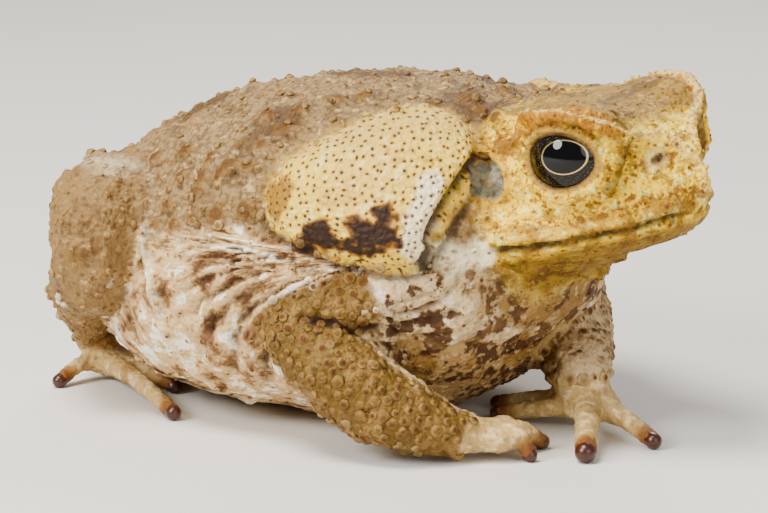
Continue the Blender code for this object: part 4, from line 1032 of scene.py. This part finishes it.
def skin_patterns(tree):
    """Every pattern that pigment follows, on patch sizes in mm: clouds, grains, dots, pores and streaks.

    A toad's finest grains are 0.1 to 0.3 mm, too fine to show in the render, so "speck" is drawn at 0.6 mm.
    """
    place = add(tree, "ShaderNodeTexCoord", output="Object")
    spot = add(tree, "ShaderNodeAttribute", {"attribute_name": "flat"}, output="Vector")
    flow = add(tree, "ShaderNodeAttribute", {"attribute_name": "flow"}, output="Vector")
    patterns = {"even": 1.0}
    clouds = (("broad", place, 13.0, 3.0), ("middle", place, 4.6, 4.0), ("small", place, 1.7, 3.0),
              ("speck", place, 0.6, 2.0), ("flow", flow, 2.6, 4.0))
    for name, way, size, detail in clouds:
        patterns[name] = add(tree, "ShaderNodeTexNoise", {},
                             {"Vector": way, "Scale": 1.0 / (size * MM), "Detail": detail, "Roughness": 0.6}, "Fac")
    wander = add(tree, "ShaderNodeTexNoise", {}, {"Vector": place, "Scale": 1.0 / (3.0 * MM)}, "Color")
    bent = add(tree, "ShaderNodeVectorMath", {"operation": "MULTIPLY_ADD"}, {0: wander, 1: (0.0012,) * 3, 2: spot})
    cells = (("grain", place, 1.0, "3D"), ("dots", place, 1.7, "3D"), ("pores", bent, 1.65, "2D"))
    for name, way, size, flat in cells:
        patterns[name] = add(tree, "ShaderNodeTexVoronoi", {"voronoi_dimensions": flat},
                             {"Vector": way, "Scale": 1.0 / (size * MM), "Randomness": 0.7}, "Distance")
    patterns["halo"] = patterns["pores"]
    reach = add(tree, "ShaderNodeVectorMath", {"operation": "LENGTH"}, {0: spot}, "Value")
    parts = add(tree, "ShaderNodeSeparateXYZ", {}, {0: spot}, "Y")
    for name, value in (("heart", reach), ("brow", parts)):
        patterns[name] = add(tree, "ShaderNodeMath", {"operation": "MULTIPLY"}, {0: value, 1: 1.0 / MM})
    return patterns


def toad_skin():
    """Live toad skin: dry, horny and granular, so dull with a faint sheen on each grain, its pigment in patches."""
    material, tree, shader = started("dry_toad_skin", {"Roughness": 0.62, "Specular IOR Level": 0.22})
    patterns = skin_patterns(tree)
    masks = {name: add(tree, "ShaderNodeAttribute", {"attribute_name": name}, output="Fac")
             for name in {row[0] for row in PIGMENT_AND_PAINTED_LIGHT} - {"all"}}
    base = colour("#8f7346")
    layers = [(mask, *layer) for mask, *group in PIGMENT_AND_PAINTED_LIGHT for layer in group]
    for mask, *ramp, strength, code in layers:
        pattern, start, full = ramp or ("even", 0.0, 1.0)
        factor = strength
        if pattern != "even":
            factor = add(tree, "ShaderNodeMapRange", {"interpolation_type": "SMOOTHSTEP"},
                         {"Value": patterns[pattern], "From Min": start, "From Max": full, "To Max": strength})
        if mask != "all":
            cover = masks[mask]
            if pattern == "even" and ramp:
                cover = add(tree, "ShaderNodeMapRange", {}, {"Value": cover, "From Min": start, "From Max": full})
            factor = add(tree, "ShaderNodeMath", {"operation": "MULTIPLY"}, {0: cover, 1: factor})
        base = add(tree, "ShaderNodeMix", {"data_type": "RGBA"}, {0: factor, 6: base, 7: colour(code)}, 2)
    tree.links.new(base, shader.inputs["Base Color"])
    height = add(tree, "ShaderNodeMath", {"operation": "MULTIPLY_ADD"},
                 {0: patterns["grain"], 1: -0.7, 2: patterns["small"]})
    height = add(tree, "ShaderNodeMath", {"operation": "MULTIPLY_ADD"}, {0: patterns["speck"], 1: 0.35, 2: height})
    plain = add(tree, "ShaderNodeMapRange", {}, {"Value": masks["digit"], "To Min": 1.0, "To Max": 0.55})
    bump = add(tree, "ShaderNodeBump", {}, {"Height": height, "Strength": plain, "Distance": 0.55 * MM})
    tree.links.new(bump, shader.inputs["Normal"])
    return material


def clouded(name, roughness, size, low, high):
    """A material of one roughness whose colour drifts between two tones, in clouds of the given size in mm."""
    material, tree, shader = started(name, {"Roughness": roughness})
    place = add(tree, "ShaderNodeTexCoord", output="Object")
    cloud = add(tree, "ShaderNodeTexNoise", {}, {"Vector": place, "Scale": 1.0 / (size * MM)}, "Fac")
    tint = add(tree, "ShaderNodeMix", {"data_type": "RGBA"}, {0: cloud, 6: colour(low), 7: colour(high)}, 2)
    tree.links.new(tint, shader.inputs["Base Color"])
    return material


def claw_horn():
    """Horny skin of a finger tip, worn smooth, so it is darker and shinier than the finger."""
    return clouded("horny_finger_tip", 0.3, 1.2, "#280c04", "#4e2008")


def wet_eye():
    """A wet eyeball: black pupil and dark flecked iris under clear tears, which alone mirror the light."""
    material, tree, shader = started("wet_eyeball", {"Roughness": 0.35, "Specular IOR Level": 0.0,
                                                    "Coat Weight": 0.6, "Coat Roughness": 0.03})
    place = add(tree, "ShaderNodeUVMap", {"uv_map": "EyeMap"}, output="UV")
    centred = add(tree, "ShaderNodeVectorMath", {"operation": "SUBTRACT"}, {0: place, 1: (*IRIS_MIDDLE, 0.0)})
    scaled = add(tree, "ShaderNodeVectorMath", {"operation": "MULTIPLY"},
                 {0: centred, 1: (1.0 / IRIS_RING[0], 1.0 / IRIS_RING[1], 0.0)})
    reach = add(tree, "ShaderNodeVectorMath", {"operation": "LENGTH"}, {0: scaled}, "Value")
    low = add(tree, "ShaderNodeVectorMath", {"operation": "DOT_PRODUCT"},
              {0: scaled, 1: (0.5, -0.85, 0.0)}, "Value")
    flecks = add(tree, "ShaderNodeTexNoise", {},
                 {"Vector": place, "Scale": 30.0, "Detail": 5.0, "Roughness": 0.8}, "Fac")
    tint = colour("#060404")
    ring_in, ring_out = IRIS_RING_EDGES
    layers = ((flecks, 0.50, 0.60, 0.8, "#241a10"), (flecks, 0.58, 0.66, 0.9, "#a08a58"),
              (reach, ring_in, 0.93, 1.0, "#010101"))
    for value, start, full, strength, code in layers:
        factor = add(tree, "ShaderNodeMapRange", {"interpolation_type": "SMOOTHSTEP"},
                     {"Value": value, "From Min": start, "From Max": full, "To Max": strength})
        tint = add(tree, "ShaderNodeMix", {"data_type": "RGBA"}, {0: factor, 6: tint, 7: colour(code)}, 2)
    band = [add(tree, "ShaderNodeMapRange", {"interpolation_type": "SMOOTHSTEP"},
                {"Value": reach, "From Min": start, "From Max": full})
            for start, full in ((ring_in - 0.02, ring_in + 0.03), (ring_out + 0.05, ring_out))]
    ring = add(tree, "ShaderNodeMath", {"operation": "MULTIPLY"}, {0: band[0], 1: band[1]})
    bright = add(tree, "ShaderNodeMapRange", {}, {"Value": low, "From Min": -1.0, "From Max": 0.6, "To Min": 0.25})
    ring = add(tree, "ShaderNodeMath", {"operation": "MULTIPLY"}, {0: ring, 1: bright})
    tint = add(tree, "ShaderNodeMix", {"data_type": "RGBA"}, {0: ring, 6: tint, 7: colour("#d8bd78")}, 2)
    tree.links.new(tint, shader.inputs["Base Color"])
    return material


def studio_floor():
    """Matt painted board, pale and even, with no gloss to mirror the toad."""
    return clouded("matt_painted_board", 0.85, 60.0, "#dedad2", "#e3dfd7")


def skin_arrays(obj):
    """Points and normals of the finished skin in the toad's frame."""
    mesh = obj.data
    points = np.empty(len(mesh.vertices) * 3)
    mesh.vertices.foreach_get("co", points)
    normals = np.empty(len(mesh.vertices) * 3)
    mesh.vertex_normals.foreach_get("vector", normals)
    return points.reshape(-1, 3) / MM - SHIFT, normals.reshape(-1, 3)


def settle_piece(obj, nodes, material):
    """Give a finished piece its material and body, and hide the nodes that it stands for."""
    obj.data.materials.append(material)
    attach(obj, "root")
    if nodes:
        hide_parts(*nodes)


class ToadSettings(bpy.types.PropertyGroup):
    back_spacing: FloatProperty(name="Back warts", description="Least distance between big warts on the back, mm",
                                default=4.6, min=3.0, max=9.0)
    arm_spacing: FloatProperty(name="Arm warts", description="Least distance between warts on the arms, mm",
                               default=1.5, min=1.2, max=4.0)
    floor_size: FloatProperty(name="Floor", description="Width of the studio floor", default=3.0,
                              unit="LENGTH", subtype="DISTANCE")
    light: FloatProperty(name="Light", description="Power that the lamps share", default=13.0, unit="POWER")
    backdrop: FloatVectorProperty(name="Surround", description="Colour of the soft light all round",
                                  subtype="COLOR", size=3, default=linear("#eef0ee"))
    seed: IntProperty(name="Seed", description="Start of every random draw", default=SEED)


class TOAD_OT_skin(bpy.types.Operator):
    """One skin over the whole animal, with folds, lids, lips, big warts and its markings."""
    bl_idname = "toad.skin"
    bl_label = "Skin"

    def execute(self, context):
        settings = context.scene.toad
        shape = toad_surface()
        obj = new_object("fine", *shape)
        slim = obj.modifiers.new("Decimate", "DECIMATE")
        slim.ratio = min(1.0, SKIN_TRIANGLES / (2.0 * len(shape[2])))
        base, *polygons = settled(obj)
        faces = triangulated(*polygons)
        at = Surface(base)
        mask = markings(at)
        draw = np.random.default_rng(settings.seed)
        back = (1.0 - mask["head"]) * (1.0 - mask["gland"]) * (1.0 - mask["arm"]) * (1.0 - mask["digit"])
        back *= (1.0 - mask["pale"]) * (1.0 - 0.8 * mask["leg"]) * step_up(base[:, 2], 12.0, 22.0)
        chosen = seats(base, settings.back_spacing, 0.6 * back, settings.seed)
        known = [(on_side(place, side), radius) for place, radius in WART_ROW + BACK_WARTS for side in SIDES]
        plain_share, plain_lift = knobs(base, base[chosen], 1.1 + 1.3 * draw.random(len(chosen)) ** 2)
        known_share, known_lift = knobs(base, np.array([place for place, _ in known]),
                                        np.array([KNOWN_SPREAD * radius for _, radius in known]))
        swelling = np.maximum(PLAIN_SWELL * plain_lift, KNOWN_SWELL * known_lift)
        mask["bulb"] = np.maximum(0.6 * step_up(plain_share, 0.55, 0.95), step_up(known_share, 0.3, 0.9))
        # Painted shade: a dark ring round the foot of each listed big wart, added to the dark mask
        shade_ring = np.exp(-((known_share - 0.12) / 0.14) ** 2) * (known_share > 0.0)
        mask["dark"] = np.maximum(mask["dark"], 0.65 * shade_ring)
        points = shaped(at, triangle_normals(base, faces), mask, swelling)
        skin = row_mesh("toad_skin", points, faces)
        keep_markings(skin.data, mask, np.zeros(len(base)), np.zeros(len(base)))
        keep_bake_map(skin.data, base)
        settle_piece(skin, FLESH, toad_skin())
        return {"FINISHED"}


class TOAD_OT_warts(bpy.types.Operator):
    """Small warts set all over the skin, each a low dome with a horny brown tip."""
    bl_idname = "toad.warts"
    bl_label = "Warts"

    def execute(self, context):
        settings = context.scene.toad
        points, normals = skin_arrays(bpy.data.objects["toad_skin"])
        mask = markings(Surface(points))
        mask["bulb"] = np.zeros(len(points))
        above = step_up(points[:, 2], 2.5, 7.0)
        bare = sum(mask[name] for name in ("head", "gland", "digit", "arm", "leg")).clip(0.0, 1.0)
        face = np.prod([1.0 - mask[name] for name in ("lips", "lid", "rim", "ear")], axis=0)
        where = {"arm": mask["arm"] * (1.0 - mask["inner"]) * above,
                 "leg": mask["leg"] * above * (1.0 - mask["arm"]),
                 "flank": (1.0 - bare) * mask["pale"] * (1.0 - mask["crease"]) * above,
                 "back": (1.0 - bare) * (1.0 - mask["pale"]), "cheek": mask["head"] * face,
                 "ridge": mask["bone"] * (1.0 - mask["rim"])}
        draw = np.random.default_rng(settings.seed)
        found = []
        for index, (kind, spacing, radii, heights, dark, pale) in enumerate(WART_KINDS):
            chosen = seats(points, spacing or settings.arm_spacing, where[kind], settings.seed + index)
            size = draw.random(len(chosen)) ** 1.4
            found.append(np.column_stack([chosen, radii[0] + size * (radii[1] - radii[0]),
                                          heights[0] + size * (heights[1] - heights[0]),
                                          np.full(len(chosen), dark), np.full(len(chosen), pale)]))
        chosen, radii, heights, dark, pale = np.vstack(found).T
        chosen = chosen.astype(np.int64)
        lean = draw.normal(0.0, 0.12, (len(chosen), 3))
        verts, faces, rises, each = domes(points[chosen], normals[chosen], radii, heights, lean,
                                          WART_PROFILE, WART_SIDES)
        verts[:, 2] = np.maximum(verts[:, 2], 0.05)
        warts = row_mesh("toad_warts", verts, faces)
        around = {name: np.repeat(mask[name][chosen], each, axis=0) for name in (*MASKS, "flat", "flow")}
        tips = step_up(rises, 0.4, 1.0) * np.repeat(dark * draw.uniform(0.4, 1.0, len(chosen)), each)
        keep_markings(warts.data, around, step_up(rises, -0.1, 0.5) * np.repeat(pale, each), tips)
        settle_piece(warts, (), bpy.data.materials["dry_toad_skin"])
        return {"FINISHED"}


class TOAD_OT_eyes(bpy.types.Operator):
    """Both eyeballs, round, with the iris drawn on the side that looks outwards."""
    bl_idname = "toad.eyes"
    bl_label = "Eyes"

    def execute(self, context):
        along, up, out = eye_axes()
        material = wet_eye()
        for name, side in (("left", 1.0), ("right", -1.0)):
            rise = np.radians(np.linspace(0.5, 179.5, 64))[:, None]
            turn = np.linspace(0.0, 2.0 * math.pi, 96, endpoint=False)[None, :]
            u, v, w = np.sin(rise) * np.cos(turn), np.sin(rise) * np.sin(turn), np.cos(rise) + 0.0 * turn
            ball_points = u[..., None] * along + v[..., None] * up + w[..., None] * out
            rings = EYE_SEAT + EYEBALL_RADIUS * EYEBALL_SLACK * ball_points
            verts, *polygons = skinned(on_side(rings, side))
            faces = triangulated(*polygons)
            flat = np.vstack([np.stack([u, v], axis=-1).reshape(-1, 2), (0.0, 0.0), (0.0, 0.0)])
            faces = faces if side > 0.0 else faces[:, ::-1]
            eye = row_mesh(f"eyeball_{name}", placed(verts, HEAD), faces)
            eye.data.uv_layers.new(name="EyeMap").data.foreach_set("uv", flat[faces].astype(np.float32).ravel())
            settle_piece(eye, (f"eye_{name}",), material)
        return {"FINISHED"}


class TOAD_OT_tips(bpy.types.Operator):
    """Horny brown caps on the tips of the fingers and toes."""
    bl_idname = "toad.tips"
    bl_label = "Finger tips"

    def execute(self, context):
        shapes = []
        for side in SIDES:
            for root, knuckle, tip, radius in FINGERS[side] + TOES:
                way = np.array(tip) - np.array(knuckle)
                way /= np.linalg.norm(way)
                size = radius * TIP_SHARE
                stations = [(np.array(tip) + way * size * step, size * wide) for step, wide in TIP_CAP]
                shapes.append(tube(stations, side))
        verts, *polygons = joined(shapes)
        verts[:, 2] = np.maximum(verts[:, 2], 0.0)
        tips = row_mesh("finger_tips", verts, triangulated(*polygons))
        settle_piece(tips, (), claw_horn())
        return {"FINISHED"}


class TOAD_OT_stage(bpy.types.Operator):
    """Pale floor, soft studio lights and the camera."""
    bl_idname = "toad.stage"
    bl_label = "Stage"

    def execute(self, context):
        settings = context.scene.toad
        square = np.array([(-1.0, -1.0, 0.0), (1.0, -1.0, 0.0), (1.0, 1.0, 0.0), (-1.0, 1.0, 0.0)])
        floor = new_object("floor", square * settings.floor_size / 2.0, np.arange(4), np.array([4]))
        floor.data.materials.append(studio_floor())
        world = bpy.data.worlds.new("soft_surround")
        world.use_nodes = True
        sky = world.node_tree.nodes["Background"]
        sky.inputs["Color"].default_value = (*settings.backdrop, 1.0)
        sky.inputs["Strength"].default_value = SURROUND_STRENGTH
        context.scene.world = world
        for name, aim, distance, size, share, code in LIGHTS:
            add_light(name, aim, distance, size, settings.light * share, code)
        set_camera(context.scene)
        return {"FINISHED"}


SURROUND_STRENGTH = 0.4
# Studio lights: (name, turn and rise in degrees, distance and width in m, share of the power set, colour)
LIGHTS = (("key", (-20.0, 68.0), 0.75, 0.34, 0.7, "#fffaf2"), ("window", (-16.0, 31.0), 0.75, 0.3, 0.5, "#ffffff"),
          ("fill", (70.0, 22.0), 0.9, 0.6, 0.22, "#ffffff"),
          ("rim", (205.0, 40.0), 0.9, 0.4, 0.3, "#ffffff"))
LIGHT_AIM = (0.0, 0.0, 0.025)


def view_axes(turn, rise):
    """Unit vector from the model towards an eye at a turn about Z and a rise above the floor."""
    a, e = math.radians(turn), math.radians(rise)
    return Vector((math.sin(a) * math.cos(e), -math.cos(a) * math.cos(e), math.sin(e)))


def add_light(name, aim, distance, size, power, code):
    """A round soft light that looks at the toad's middle."""
    lamp = bpy.data.lights.new(name, "AREA")
    lamp.shape = "DISK"
    lamp.size = size
    lamp.energy = power
    lamp.color = linear(code)
    obj = bpy.data.objects.new(name, lamp)
    back = view_axes(*aim)
    obj.location = back * distance + Vector(LIGHT_AIM)
    obj.rotation_euler = back.to_track_quat("Z", "Y").to_euler()
    bpy.context.scene.collection.objects.link(obj)


def set_camera(scene):
    """The photograph's view: a long lens at the toad's right, partly round to its front and a little above."""
    back = view_axes(VIEW_TURN, VIEW_RISE)
    data = bpy.data.cameras.new("camera")
    data.sensor_width = 36.0
    data.lens = FOCAL_PIXELS / FRAME_PIXELS[0] * data.sensor_width
    data.shift_x = (FRAME_PIXELS[0] / 2.0 - MIDDLE_PIXEL[0]) / FRAME_PIXELS[0]
    data.shift_y = (MIDDLE_PIXEL[1] - FRAME_PIXELS[1] / 2.0) / FRAME_PIXELS[0]
    data.clip_start = 0.01
    camera = bpy.data.objects.new("camera", data)
    target = Vector((np.array(VIEW_TARGET) + SHIFT) * MM)
    turn = back.to_track_quat("Z", "Y").to_matrix() @ Matrix.Rotation(math.radians(VIEW_ROLL), 3, "Z")
    camera.matrix_world = Matrix.Translation(target + back * VIEW_DISTANCE * MM) @ turn.to_4x4()
    scene.collection.objects.link(camera)
    scene.camera = camera


class TOAD_PT_panel(bpy.types.Panel):
    """Buttons for every piece of the toad."""
    bl_idname = "TOAD_PT_panel"
    bl_label = "Cane toad"
    bl_space_type = "VIEW_3D"
    bl_region_type = "UI"
    bl_category = "Toad"

    def draw(self, context):
        for name in ToadSettings.__annotations__:
            self.layout.prop(context.scene.toad, name)
        for step in STEPS:
            self.layout.operator(step.bl_idname)


STEPS = (TOAD_OT_skin, TOAD_OT_warts, TOAD_OT_eyes, TOAD_OT_tips, TOAD_OT_stage)
CLASSES = (ToadSettings, *STEPS, TOAD_PT_panel)


def register():
    """Make the classes and settings known to Blender."""
    for item in CLASSES:
        bpy.utils.register_class(item)
    bpy.types.Scene.toad = PointerProperty(type=ToadSettings)


def unregister():
    """Take the settings and classes away again."""
    del bpy.types.Scene.toad
    for item in reversed(CLASSES):
        bpy.utils.unregister_class(item)


def main():
    """Make every piece in order."""
    register()
    bpy.ops.toad.skin()
    bpy.ops.toad.warts()
    bpy.ops.toad.eyes()
    bpy.ops.toad.tips()
    bpy.ops.toad.stage()


if __name__ == "__main__":
    main()
